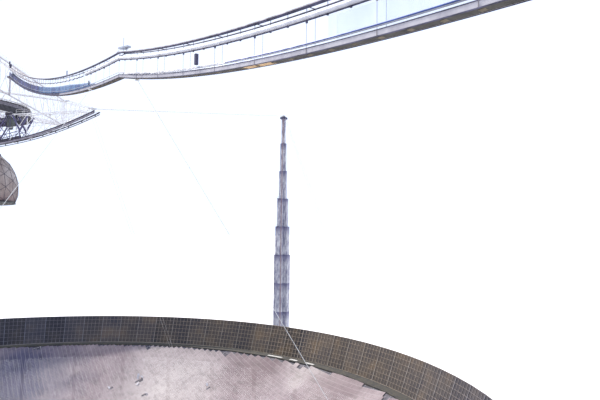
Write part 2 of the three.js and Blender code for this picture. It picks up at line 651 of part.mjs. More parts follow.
function armTruss() {
  const trackSteps = 32;
  const outline = Array.from({ length: trackSteps + 1 }, (_, i) => {
    const along = ARM_HALF_LENGTH * (-1 + (2 * i) / trackSteps);
    return new THREE.Vector2(along, trackZ(along));
  });
  const tipTop = trackZ(ARM_HALF_LENGTH) + TRACK_GIRDER_DEPTH;
  outline.push(new THREE.Vector2(ARM_HALF_LENGTH, tipTop));
  outline.push(new THREE.Vector2(ARM_TOP_HALF_LENGTH, ARM_TOP_Z));
  outline.push(new THREE.Vector2(-ARM_TOP_HALF_LENGTH, ARM_TOP_Z));
  outline.push(new THREE.Vector2(-ARM_HALF_LENGTH, tipTop));
  const stations = armStations();
  const tops = stations.map((x) => new THREE.Vector2(x, ARM_TOP_Z - ARM_BAR / 2));
  const girderTop = TRACK_GIRDER_DEPTH - ARM_BAR / 2;
  const bottoms = stations.map((x) => new THREE.Vector2(x, trackZ(x) + girderTop));
  return piercedPlate(outline, bayCells(tops, bottoms, ARM_BAR / 2), ARM_PLATE_WIDTH);
}

function armStations() {
  const reach = ARM_TOP_HALF_LENGTH - ARM_BAR;
  return Array.from({ length: ARM_BAYS + 1 }, (_, i) => reach * (-1 + (2 * i) / ARM_BAYS));
}

// Trucks on a side truss, which run under the azimuth ring
function azimuthTrucks(side) {
  const truckX = Math.sqrt(RING_RADIUS ** 2 - ARM_HALF_WIDTH ** 2);
  const overlap = ARM_BAR / 2;
  const height = RING_BOTTOM_Z - ARM_TOP_Z - GAP + overlap;
  const size = point(AZIMUTH_TRUCK.x, AZIMUTH_TRUCK.y, height);
  const middle = ARM_TOP_Z - overlap + height / 2;
  return [-1, 1].map((end) => box(size, end * truckX, side * ARM_HALF_WIDTH, middle));
}

// Struts that reach from the left side truss to the right one
function crossStruts() {
  const from = ARM_HALF_WIDTH;
  const to = -ARM_HALF_WIDTH + ARM_PLATE_WIDTH / 2 + GAP;
  const [length, middle] = [from - to, (from + to) / 2];
  return armStations().flatMap((x) => [
    box(point(ARM_BAR, length, ARM_BAR), x, middle, ARM_TOP_Z - ARM_BAR),
    box(point(ARM_BAR, length, TRACK_GIRDER_DEPTH / 2), x, middle, trackZ(x) + TRACK_GIRDER_DEPTH / 2),
  ]);
}

function arm() {
  const group = new THREE.Group();
  group.rotation.z = ARM_AZIMUTH;
  const truss = armTruss();
  const right = truss.clone().translate(0, -ARM_HALF_WIDTH, 0);
  const left = truss.clone().translate(0, ARM_HALF_WIDTH, 0);
  group.add(node('arm_truss_right', finishes.steel, fuse(right, ...azimuthTrucks(-1))));
  group.add(node('arm_truss_left', finishes.steel, fuse(left, ...crossStruts(), ...azimuthTrucks(1))));
  group.add(lineFeed(), domeBody());
  return group;
}

// A carriage under the two track girders, with its frame and four trucks
function trackCarriage(halfSpan, length, bottom) {
  const truckZ = -TRACK_RADIUS - GAP - TRACK_TRUCK.z / 2;
  const pieces = [];
  for (const end of [-1, 1]) {
    for (const side of [-1, 1]) {
      const block = box(TRACK_TRUCK, 0, side * ARM_HALF_WIDTH, truckZ);
      pieces.push(block.rotateY(-end * Math.asin(halfSpan / TRACK_RADIUS)));
    }
  }
  const [depth, middle] = [truckZ - bottom, (truckZ + bottom) / 2];
  const width = 2 * ARM_HALF_WIDTH + TRACK_FRAME_WIDTH;
  for (const end of [-1, 1]) {
    pieces.push(box(point(length, TRACK_FRAME_WIDTH, depth), 0, end * ARM_HALF_WIDTH, middle));
    pieces.push(box(point(TRACK_FRAME_WIDTH, width, depth), end * halfSpan, 0, middle));
  }
  return pieces;
}

function lineFeed() {
  const group = new THREE.Group();
  group.position.z = SPHERE_Z;
  group.rotation.y = FEED_ZENITH_ANGLE;
  const houseTop = -TRACK_RADIUS - FEED_HOUSE_DROP;
  const house = box(FEED_HOUSE, 0, 0, houseTop - FEED_HOUSE.z / 2);
  const carriage = trackCarriage(FEED_TRUCK_REACH, FEED_HOUSE.x, houseTop - TRACK_FRAME_WIDTH / 3);
  group.add(node('line_feed_house', finishes.steel, fuse(house, ...carriage)));
  const feed = new THREE.CylinderGeometry(FEED_TOP_RADIUS, FEED_TIP_RADIUS, FEED_LENGTH, 4);
  feed.rotateX(Math.PI / 2).rotateZ(45 * DEG);
  feed.translate(0, 0, houseTop - FEED_HOUSE.z - GAP - FEED_LENGTH / 2);
  group.add(node('line_feed', finishes.steel, feed));
  return group;
}

function domeShell() {
  const facets = 3;
  const outer = toSolid(new THREE.IcosahedronGeometry(DOME_RADIUS, facets));
  const inner = toSolid(new THREE.IcosahedronGeometry(DOME_RADIUS - DOME_SHELL, facets));
  const height = DOME_ROOF_RISE + DOME_FLOOR_DROP;
  const slab = box(point(3 * DOME_RADIUS, 3 * DOME_RADIUS, height), 0, 0, DOME_ROOF_RISE - height / 2);
  return toGeometry(outer.subtract(inner).intersect(toSolid(slab)));
}

function domeBody() {
  const group = new THREE.Group();
  group.position.z = SPHERE_Z;
  group.rotation.y = -DOME_ZENITH_ANGLE;
  group.add(node('dome_shell', finishes.dome, domeShell().translate(0, 0, -DOME_DROP)));

  const floorTop = -DOME_DROP - DOME_FLOOR_DROP - GAP;
  const floorBottom = floorTop - DOME_SHELL;
  const floorOuter = Math.sqrt(DOME_RADIUS ** 2 - DOME_FLOOR_DROP ** 2);
  const floor = ring([
    new THREE.Vector2(DOME_APERTURE, floorBottom),
    new THREE.Vector2(floorOuter, floorBottom),
    new THREE.Vector2(floorOuter, floorTop),
    new THREE.Vector2(DOME_APERTURE, floorTop),
  ], DOME_SIDES);
  group.add(node('dome_floor', finishes.dome, floor));

  const roofBottom = -DOME_DROP + DOME_ROOF_RISE + GAP;
  const roofRadius = Math.sqrt(DOME_RADIUS ** 2 - DOME_ROOF_RISE ** 2);
  const roofMiddle = roofBottom + DOME_ROOF_HEIGHT / 2;
  const roof = new THREE.CylinderGeometry(roofRadius, roofRadius, DOME_ROOF_HEIGHT, DOME_SIDES);
  roof.rotateX(Math.PI / 2).translate(0, 0, roofMiddle);
  const carriage = trackCarriage(DOME_CARRIAGE.x, DOME_CARRIAGE.y, roofMiddle);
  group.add(node('dome_carriage', finishes.steel, fuse(roof, ...carriage)));
  return group;
}

// A point of the catwalk's deck, from 0 at the platform to 1 at the tower
function catwalkPoint(share) {
  const place = CATWALK_START.clone().lerp(CATWALK_END, share);
  const first = share <= CATWALK_KNEE;
  const span = first ? share / CATWALK_KNEE : (share - CATWALK_KNEE) / (1 - CATWALK_KNEE);
  const [from, to] = first ? [CATWALK_START_Z, CATWALK_KNEE_Z] : [CATWALK_KNEE_Z, CATWALK_END_Z];
  const sag = 4 * CATWALK_SAGS[first ? 0 : 1] * span * (1 - span);
  place.z = from + (to - from) * span - sag;
  return place;
}

// A plate in the upright plane of the catwalk, from outlines of (share, height) corners
function catwalkPlate(outline, holes, width, side) {
  const length = CATWALK_START.distanceTo(CATWALK_END);
  const place = ([share, height]) => new THREE.Vector2(share * length, catwalkPoint(share).z + height);
  const plate = piercedPlate(outline.map(place), holes.map((hole) => hole.map(place)), width);
  plate.translate(0, -side, 0);
  const heading = Math.atan2(CATWALK_END.y - CATWALK_START.y, CATWALK_END.x - CATWALK_START.x);
  return plate.rotateZ(heading).translate(CATWALK_START.x, CATWALK_START.y, 0);
}

// The corners of a band along the catwalk between two heights over its lower edge
function catwalkBand(bottom, top) {
  const shares = Array.from({ length: CATWALK_BAYS + 1 }, (_, i) => i / CATWALK_BAYS);
  const lower = shares.map((share) => [share, bottom]);
  const upper = shares.map((share) => [share, top]).reverse();
  return [...lower, ...upper];
}

function catwalk() {
  const group = new THREE.Group();
  const deck = catwalkPlate(catwalkBand(0, CATWALK_DECK_DEPTH), [], CATWALK_WIDTH, 0);
  group.add(node('catwalk_deck', finishes.catwalk, deck));

  const halfPost = RAIL_POST_WIDTH / 2 / CATWALK_START.distanceTo(CATWALK_END);
  for (const { name, side, openings } of RAIL_OPENINGS) {
    const holes = [];
    for (let bay = 0; bay < CATWALK_BAYS; bay += 1) {
      const [start, end] = [bay / CATWALK_BAYS + halfPost, (bay + 1) / CATWALK_BAYS - halfPost];
      for (const [low, high] of openings) {
        holes.push([[start, low * M], [end, low * M], [end, high * M], [start, high * M]]);
      }
    }
    const place = side * (CATWALK_REACH - RAIL_WIDTH / 2);
    const rail = catwalkPlate(catwalkBand(0, CATWALK_HEIGHT), holes, RAIL_WIDTH, place);
    group.add(node(`catwalk_rail_${name}`, finishes.catwalk, rail));
  }
  for (const [name, share, footAngle] of CATWALK_GUYS) {
    group.add(node(`catwalk_guy_${name}`, finishes.cable, catwalkGuy(share, footAngle)));
  }
  group.add(node('catwalk_platform_landing', finishes.catwalk, platformLanding()));
  group.add(node('catwalk_tower_landing', finishes.catwalk, towerLanding()));
  return group;
}

// A guy from a bracket under the edge of the deck down to the rim beam
function catwalkGuy(share, footAngle) {
  const radius = CATWALK_GUY_FOOT_RADIUS;
  const foot = point(radius * Math.cos(footAngle), radius * Math.sin(footAngle), RIM_Z);
  const end = catwalkPoint(share);
  end.x += (Math.sign(foot.x) * CATWALK_WIDTH) / 2;
  end.z -= GUY_BRACKET.z / 2 + GAP + GUY_BRACKET.y / 4;
  const slant = Math.atan2(Math.hypot(foot.x - end.x, foot.y - end.y), end.z - foot.z);
  return fuse(box(GUY_BRACKET, end.x, end.y, end.z), trimmedRod(end, foot, TIE_DOWN_RADIUS, slant));
}

// The step between the side of the platform and the catwalk, on a post from the bottom chord
function platformLanding() {
  const [left, right] = [8.5 * M, 10.3 * M];
  const postSize = new THREE.Vector2(0.3, 0.4).multiplyScalar(M);
  const faceDistance = CORNER_RADIUS / 2 + PLATFORM_TRUSS_WIDTH / 2 + GAP;
  const faceY = (x) => (x * Math.cos(HALF_CORNER) - faceDistance) / Math.sin(HALF_CORNER);
  const endY = (x) => CATWALK_START.y + GAP - (x - CATWALK_START.x) * CATWALK_SKEW;
  const outline = [[left, endY(left)], [right, endY(right)], [right, faceY(right)], [left, faceY(left)]];
  const shape = new THREE.Shape(outline.map(([x, y]) => new THREE.Vector2(x, y)));
  const slab = new THREE.ExtrudeGeometry(shape, { depth: CATWALK_DECK_DEPTH, bevelEnabled: false });
  slab.translate(0, 0, CATWALK_START_Z);
  const foot = PLATFORM_BOTTOM_Z + GAP;
  const height = CATWALK_START_Z + CATWALK_DECK_DEPTH / 2 - foot;
  const size = point(postSize.x, postSize.y, height);
  const post = box(size, faceDistance + postSize.x / 2, 0, foot + height / 2);
  const along = (right + left) / 2;
  const across = (along - faceDistance * Math.cos(HALF_CORNER)) / Math.sin(HALF_CORNER);
  return fuse(slab, post.translate(0, across, 0).rotateZ(-HALF_CORNER));
}

// The balcony between the tower on -Y and the catwalk beside it, on posts and braces from a ledge
function towerLanding() {
  const ledgeStep = 4;
  const ledgeZ = towerLedgeZ(ledgeStep) + GAP;
  const [innerReach, outerReach] = [TOWER_WIDTHS[ledgeStep - 1] / 2, TOWER_WIDTHS[ledgeStep] / 2];
  const wall = -TOWER_RADIUS + innerReach + GAP;
  const edge = CATWALK_END.y - GAP - CATWALK_REACH * Math.abs(CATWALK_SKEW);
  const [left, right] = [-1.7 * M, CATWALK_END.x + CATWALK_REACH];
  const slabZ = CATWALK_END_Z + CATWALK_DECK_DEPTH / 2;
  const slab = point(right - left, edge - wall, CATWALK_DECK_DEPTH);
  const pieces = [box(slab, (left + right) / 2, (edge + wall) / 2, slabZ)];
  const postWidth = 0.4 * M;
  const braceWidth = 0.3 * M;
  const postReach = 1 * M;
  const braceHead = point(right - 2 * M, edge - 2 * postWidth, slabZ);
  const postY = -TOWER_RADIUS + outerReach - postWidth / 2;
  const firstHead = point(-postReach, edge - postWidth, slabZ);
  for (const [x, head] of [[-postReach, firstHead], [postReach, braceHead]]) {
    const height = slabZ - ledgeZ;
    pieces.push(box(point(postWidth, postWidth, height), x, postY, ledgeZ + height / 2));
    pieces.push(bar(point(x, postY, ledgeZ + postWidth), head, braceWidth, braceWidth));
  }
  const sideFoot = point((innerReach + outerReach) / 2, -TOWER_RADIUS + postReach / 2, ledgeZ + postWidth);
  pieces.push(box(point(postWidth, postWidth, 2 * postWidth), sideFoot.x, sideFoot.y, sideFoot.z));
  pieces.push(bar(sideFoot, braceHead, braceWidth, braceWidth));
  return fuse(...pieces);
}

const telescope = new THREE.Group();
telescope.add(reflector(), rim(), groundScreen(), towers(), platform(), tieDowns(), arm(), catwalk());

export default telescope;
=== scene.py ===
"""Looks of a 1:20 model of a fixed spherical radio telescope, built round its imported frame.

Sizes are in metres of the real telescope. Heights count from the lowest point of the dish,
and to_model() turns a real point into the model's frame.
"""

import json
import math
import random
from itertools import product

import bpy
import numpy as np
from mathutils import Matrix, Vector

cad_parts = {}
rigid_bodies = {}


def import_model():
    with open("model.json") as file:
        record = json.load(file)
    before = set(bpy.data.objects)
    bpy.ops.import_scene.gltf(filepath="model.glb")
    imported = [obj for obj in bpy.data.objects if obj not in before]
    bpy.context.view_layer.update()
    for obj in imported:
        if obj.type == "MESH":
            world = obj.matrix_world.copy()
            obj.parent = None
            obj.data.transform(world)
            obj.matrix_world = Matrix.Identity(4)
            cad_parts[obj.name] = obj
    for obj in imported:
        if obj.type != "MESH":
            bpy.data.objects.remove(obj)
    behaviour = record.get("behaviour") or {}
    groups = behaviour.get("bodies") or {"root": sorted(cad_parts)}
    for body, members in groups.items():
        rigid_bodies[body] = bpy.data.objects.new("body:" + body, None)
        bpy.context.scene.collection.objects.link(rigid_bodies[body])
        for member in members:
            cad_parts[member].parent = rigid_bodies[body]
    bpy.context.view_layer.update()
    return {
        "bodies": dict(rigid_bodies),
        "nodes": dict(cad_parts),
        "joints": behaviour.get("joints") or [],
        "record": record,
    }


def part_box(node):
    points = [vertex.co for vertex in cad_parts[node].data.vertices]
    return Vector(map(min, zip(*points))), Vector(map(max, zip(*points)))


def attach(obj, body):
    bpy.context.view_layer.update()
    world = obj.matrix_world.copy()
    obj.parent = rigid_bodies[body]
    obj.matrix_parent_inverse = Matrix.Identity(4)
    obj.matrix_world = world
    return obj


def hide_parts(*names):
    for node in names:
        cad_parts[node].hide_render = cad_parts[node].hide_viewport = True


SCALE = 1 / 20
VERTEX_HEIGHT = 6.0
# Half the floor's width, in the model's own metres
FLOOR_HALF = 600.0

# Dish
SPHERE_RADIUS = 265.2
DISH_RADIUS = 152.4
RIM_Z = SPHERE_RADIUS - math.sqrt(SPHERE_RADIUS**2 - DISH_RADIUS**2)
PANEL_WIDTH = 2.0
PANEL_LENGTH = 1.0
PANEL_GAP = 0.05
PANEL_TILT = 0.006
SEAM_WIDTHS = (0.13, 0.09)
SEAM_DEPTH = 0.04
SEAM_STEP = 4.0
TIE_HOLE_PLACE = 117.7
TIE_HOLE_RADIUS = 1.6
NOTCH_ANGLES = [side + angle for side in range(0, 360, 60) for angle in (12.0, 30.5, 49.0)]
NOTCH_DEPTH = 4.5
NOTCH_HALF_WIDTH = 3.2
# Dark underlay of painted shade under the dish's edge: inner radius and depth below the sheet
SHADE_UNDERLAY_RADIUS = 145.0
SHADE_UNDERLAY_DEPTH = 0.4

# Patches on the sheet: X, Y, radius, strength and colour. The first is a painted shadow near the rim and the
# second a painted highlight of the sun's glint; the others darken or lighten the sheet.
SHEET_PATCHES_AND_PAINTED_LIGHT = [
    (34, 126, 36, 0.92, (0.06, 0.06, 0.115)),
    (100, 78, 36, 0.5, (0.56, 0.51, 0.48)),
    (136, 52, 24, 0.85, (0.16, 0.11, 0.12)),
    (146, 4, 26, 0.6, (0.2, 0.15, 0.155)),
    (-60, 80, 45, 0.4, (0.16, 0.12, 0.13)),
    (20, -90, 55, 0.4, (0.5, 0.46, 0.44)),
    (-110, -30, 35, 0.5, (0.18, 0.13, 0.14)),
]
PATCH_RAGGEDNESS = 60.0
# Share of the sheet's patches, painted shadow and highlight among them, that the battens take
BATTEN_PATCH_SHARE = 0.75

# Panels that have come loose: X, Y, direction in degrees and how far one end stands up
LOOSE_PANELS = [
    (88.2, 97.5, 60, 0.6),
    (90.0, 96.5, 110, 0.4),
    (89.0, 98.9, 80, 0.3),
    (86.8, 93.6, 25, 0.2),
    (88.3, 84.6, 140, 0.3),
    (74.1, 100.3, 100, 0.1),
    (113.5, 66.0, 70, 0.3),
    (-40.0, -60.0, 50, 0.3),
    (-95.0, 20.0, 120, 0.4),
    (30.0, -118.0, 20, 0.3),
]
LOOSE_LIFT = 0.2
# Dark sheets laid on the dish as painted shade where panels are missing: X, Y and how many panels in a row
PAINTED_HOLE_SHADES = [(87, 95.5, 2), (89, 94.5, 1), (87, 84.5, 1), (113, 63.5, 1), (75, 99.5, 1), (-41, -61.5, 2)]

# Cables and ties under the dish
NET_SPACING = 6.0
NET_STEPS = 28
NET_DEPTH = 0.18
NET_RADIUS = 0.05
TIE_SPACING = 24.0
TIE_ROWS = 6

# Where pale slabs lie on the rim beam, in degrees
RIM_SLABS = [(17.8, 21.3), (14.0, 15.8), (9.8, 11.8), (96.0, 99.0), (201.0, 204.5), (318.0, 320.0)]

# Ground screen
SCREEN_BAYS = 96
SCREEN_FOOT_RADIUS = 157.0
SCREEN_TOP_RADIUS = 162.4
SCREEN_TOP_Z = 62.4
SCREEN_ROWS = 7
SCREEN_COLUMNS = 5
PROP_RADIUS = 159.2

# Platform corners and towers stand in these directions
SIDE_ANGLES = {"south": -90.0, "east": 30.0, "west": 150.0}
TOWER_RADIUS = 213.0
TOWER_TOP_Z = 189.1
CAP_HEIGHT = 1.25
CAP_SIZE = 3.55
TOWER_FIRST_STEP = 16.3
TOWER_STEP = 18.29
TOWER_WIDTHS = [2.42, 3.75, 4.77, 6.84, 8.65, 9.74]
TOWER_ARM_WIDTHS = [1.3, 1.5, 1.8, 2.4, 3.2, 4.0]
TOWER_STEPS = {"south": 5, "east": 6, "west": 5}
LIFT_HEIGHT = 1.83
RUNG_STEP = 0.6

# Saddles and cables
SADDLE_LENGTH = 3.5
SADDLE_WIDTH = 1.5
SADDLE_HEIGHT = 1.3
MAIN_CABLE_SIZE = 0.04
MAIN_CABLE_PLACES = [(-1.5, 0.3), (-0.5, 0.3), (0.5, 0.3), (1.5, 0.3), (-1, -0.4), (1, -0.4)]
MAIN_CABLE_SPREAD = 0.36
MAIN_CABLE_END_SPREAD = 0.25
BACKSTAY_COUNT = 7
BACKSTAY_SPREAD = 0.2
ANCHOR_SPREAD = 1.3
ANCHOR_RADIUS = 404.0
ANCHOR_LENGTH = 9.0
ANCHOR_HEIGHT = 5.0

# Platform
CORNER_RADIUS = 36.5
PLATFORM_BOTTOM = 151.0
PLATFORM_TOP = 160.4
TRUSS_LOW = PLATFORM_BOTTOM + 0.25
TRUSS_HIGH = PLATFORM_TOP - 0.25
PLATFORM_BAYS = 10
HANDRAIL_HEIGHT = 1.1
OUTRIGGER_RADIUS = 48.7
OUTRIGGER_SPREAD = 2.2
OUTRIGGER_BAYS = 6
MAST_BAYS = 8
TIE_DOWN_SPREAD = 0.8
RING_RADIUS = 17.6
RING_WIDTH = 1.0
RING_BOTTOM = 147.6
RING_STEP = 5

# Arm and dome
ARM_AZIMUTH = -50.1
ARM_HALF_LENGTH = 46.4
ARM_TOP = 146.9
ARM_CHORD_Z = ARM_TOP - 0.12
ARM_REACH = 42.1
ARM_HALF_WIDTH = 1.2
ARM_BAYS = 14
TRACK_RADIUS = 128.0
TRACK_STEPS = 64
POST_EVERY = 3
CABLE_TRAY_REACH = 23.0
GIRDER_DEPTH = 0.77
TRUCK_X = math.sqrt(RING_RADIUS**2 - ARM_HALF_WIDTH**2)
HOUSE_X = 17.2
DOME_DROP = 139.8
DOME_RADIUS = 12.9
DOME_ZENITH = 1.4
DOME_STAIN_HEIGHT = 5.0
DOME_EDGE_BAND = 1.1

# Catwalk
CATWALK_START = (9.37, -22.9)
CATWALK_END = (12.79, -204.0)
CATWALK_HEIGHTS = (155.6, 133.1, 123.1)
CATWALK_SAGS = (3.6, 2.7)
CATWALK_BAYS = 33
CATWALK_KNEE = 18 / CATWALK_BAYS
CATWALK_HALF = 0.37
FASCIA_HEIGHT = 0.37
LOW_RAIL_HEIGHT = 0.665
TOP_LINE_HEIGHT = 3.22
DUCT_HEIGHT = 2.5
DUCT_RADIUS = 0.2

# Shares of the catwalk's length, from the platform to the tower
STATIONS = [i / (4 * CATWALK_BAYS) for i in range(4 * CATWALK_BAYS + 1)]
# Hangers stand at the joints and at the thirds between them, every third one at a joint
JOINT_STEP = 1 / 27
HANGERS = [CATWALK_KNEE + i * JOINT_STEP / 3 for i in range(-42, 37)]
JOINTS = HANGERS[::3]
DUCT_START = 0.45
DARK_BOARDS_END = 0.36
BLUE_RAIL_START = 0.7
# Shares where the platform end's netting, darkened as painted shade, changes from darkest to blue and ends
DARK_MESH_END = 0.25
BLUE_MESH_END = 0.475
NETTING_START = 0.775
PLYWOOD = (0.722, 0.741)

# Camera, in real metres and degrees, and its lens
CAMERA_PLACE = (-8.81, -190.73, 113.69)
CAMERA_YAW = 34.87
CAMERA_PITCH = 3.33
CAMERA_ROLL = 0.64
CAMERA_LENS = 32.36

# Light
SUN_AZIMUTH = 99.0
SUN_ELEVATION = 41.0
SUN_STRENGTH = 5.4
SUN_SPREAD = 3.0
SKY_STRENGTH = 1.38

# Painted and galvanised metal: colour, dirt, roughness, metallic and how fine the dirt is
METALS = {
    "dark_steel": ((0.16, 0.15, 0.17), (0.07, 0.065, 0.075), 0.5, 0.5),
    "grey_steel": ((0.31, 0.3, 0.3), (0.19, 0.18, 0.18), 0.5, 0.3),
    "cable_steel": ((0.72, 0.72, 0.7), (0.55, 0.55, 0.53), 0.5, 0.2),
    "wire_steel": ((0.4, 0.35, 0.3), (0.24, 0.21, 0.19), 0.6, 0.2),
    "rusty_ladder": ((0.4, 0.27, 0.25), (0.25, 0.15, 0.14), 0.7, 0.1),
    "lattice_steel": ((0.82, 0.82, 0.82), (0.64, 0.64, 0.66), 0.6, 0.0),
    "handrail_steel": ((0.8, 0.8, 0.8), (0.62, 0.62, 0.62), 0.6, 0.0),
    "chord_steel": ((0.62, 0.61, 0.62), (0.45, 0.44, 0.46), 0.6, 0.0),
    "girder_steel": ((0.06, 0.055, 0.08), (0.025, 0.022, 0.035), 0.6, 0.1),
    "flange_steel": ((0.24, 0.23, 0.26), (0.13, 0.125, 0.15), 0.5, 0.2),
    "shaded_steel": ((0.055, 0.055, 0.064), (0.024, 0.024, 0.03), 0.85, 0.0),
    "web_plate": ((0.3, 0.285, 0.34), (0.17, 0.16, 0.2), 0.55, 0.1),
    "arm_web": ((0.36, 0.34, 0.4), (0.2, 0.19, 0.25), 0.6, 0.0),
    # Navy; on the arm's lattice near its middle it stands as painted shade
    "brace_steel": ((0.1, 0.095, 0.2), (0.05, 0.045, 0.1), 0.5, 0.1),
    "house_sheet": ((0.11, 0.125, 0.12), (0.05, 0.06, 0.06), 0.6, 0.1),
    "pale_boards": ((0.45, 0.44, 0.47), (0.3, 0.29, 0.33), 0.65, 0.0, 0.6),
    "board_underside": ((0.1, 0.098, 0.085), (0.05, 0.05, 0.048), 0.85, 0.0, 0.5),
    "plywood": ((0.78, 0.56, 0.3), (0.58, 0.4, 0.2), 0.7, 0.0, 0.6),
    "rusty_patch": ((0.22, 0.19, 0.135), (0.1, 0.085, 0.06), 0.8, 0.0, 0.7),
    "blue_rail": ((0.05, 0.1, 0.34), (0.03, 0.06, 0.2), 0.5, 0.2),
    "grey_rail": ((0.36, 0.39, 0.46), (0.24, 0.26, 0.32), 0.5, 0.3),
    "duct_sheet": ((0.66, 0.68, 0.72), (0.46, 0.47, 0.51), 0.5, 0.1),
    "pale_slab": ((0.7, 0.68, 0.64), (0.5, 0.48, 0.45), 0.8, 0.0),
    "navy_steel": ((0.06, 0.06, 0.12), (0.02, 0.02, 0.04), 0.6, 0.1),
}

# Every finished material by its name
LOOKS = {}

# The corners of a square, and the faces of a box that has its first four corners below
CORNERS = ((-1, -1), (1, -1), (1, 1), (-1, 1))
BOX_FACES = [(3, 2, 1, 0), (4, 5, 6, 7)] + [(i, (i + 1) % 4, 4 + (i + 1) % 4, 4 + i) for i in range(4)]


def to_model(point):
    """A real point in the model's frame."""
    x, y, z = point
    return Vector((x * SCALE, y * SCALE, (z + VERTEX_HEIGHT) * SCALE))


def around(radius, degrees, z):
    """A point at a radius and an azimuth."""
    angle = math.radians(degrees)
    return (radius * math.cos(angle), radius * math.sin(angle), z)


def direction(azimuth, elevation):
    """The unit vector towards an azimuth and an elevation in degrees."""
    rise = math.radians(elevation)
    return Vector(around(math.cos(rise), azimuth, math.sin(rise)))


def crossed(axis, across, along):
    """X and Y of a place on a line that runs along Y (axis 0) or along X (axis 1)."""
    return (across, along) if axis == 0 else (along, across)


def dish_z(x, y):
    """Height of the dish's surface."""
    return SPHERE_RADIUS - math.sqrt(SPHERE_RADIUS**2 - x * x - y * y)


def axes_across(along):
    """The level and the upward direction across a line."""
    upright = abs(along.z) > 0.99
    side = Vector((0, 1, 0)) if upright else Vector((0, 0, 1)).cross(along).normalized()
    return side, along.cross(side)


def add_object(name, data):
    obj = bpy.data.objects.new(name, data)
    bpy.context.scene.collection.objects.link(obj)
    return obj


class Shape:
    """The corners and faces of one piece, in real metres, with the name of each face's look."""

    def __init__(self, look):
        self.look = look
        self.corners = []
        self.faces = []
        self.looks = []

    def add(self, corners, faces, look=None):
        first = len(self.corners)
        self.corners.extend(corners)
        self.faces.extend([first + i for i in face] for face in faces)
        self.looks.extend([look or self.look] * len(faces))

    def bar(self, start, end, width, depth=None, look=None):
        """A straight bar of rectangular section, square if no depth is given."""
        start, end = Vector(start), Vector(end)
        side, above = axes_across((end - start).normalized())
        depth = depth or width
        corners = []
        for place in (start, end):
            for across, up in CORNERS:
                corners.append(place + side * (across * width / 2) + above * (up * depth / 2))
        self.add(corners, BOX_FACES, look)

    def tube(self, path, radius, sides=6, look=None):
        """A tube along a path of points."""
        path = [Vector(p) for p in path]
        last = len(path) - 1
        corners = []
        for i, place in enumerate(path):
            side, above = axes_across((path[min(i + 1, last)] - path[max(i - 1, 0)]).normalized())
            for k in range(sides):
                angle = 2 * math.pi * k / sides
                corners.append(place + (side * math.cos(angle) + above * math.sin(angle)) * radius)
        faces = []
        for row in range(0, last * sides, sides):
            for k in range(sides):
                a, b = row + k, row + (k + 1) % sides
                faces.append((a, b, b + sides, a + sides))
        faces.append(tuple(range(sides))[::-1])
        faces.append(tuple(range(last * sides, (last + 1) * sides)))
        self.add(corners, faces, look)

    def block(self, low, high, look=None):
        """A box between two corners."""
        corners = []
        for z in (low[2], high[2]):
            for x, y in ((low[0], low[1]), (high[0], low[1]), (high[0], high[1]), (low[0], high[1])):
                corners.append((x, y, z))
        self.add(corners, BOX_FACES, look)

    def turned(self, degrees):
        """The same shape, turned about the Z axis."""
        turn = Matrix.Rotation(math.radians(degrees), 3, "Z")
        self.corners = [turn @ Vector(c) for c in self.corners]
        return self

    def piece(self, name, body, slot):
        """Makes the object and lets it ride on its body."""
        mesh = bpy.data.meshes.new(name)
        mesh.from_pydata([to_model(c) for c in self.corners], [], self.faces)
        names = list(dict.fromkeys(self.looks))
        for look in names:
            mesh.materials.append(LOOKS[look])
        mesh.polygons.foreach_set("material_index", [names.index(look) for look in self.looks])
        mesh.update()
        obj = add_object(name, mesh)
        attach(obj, body)
        return obj


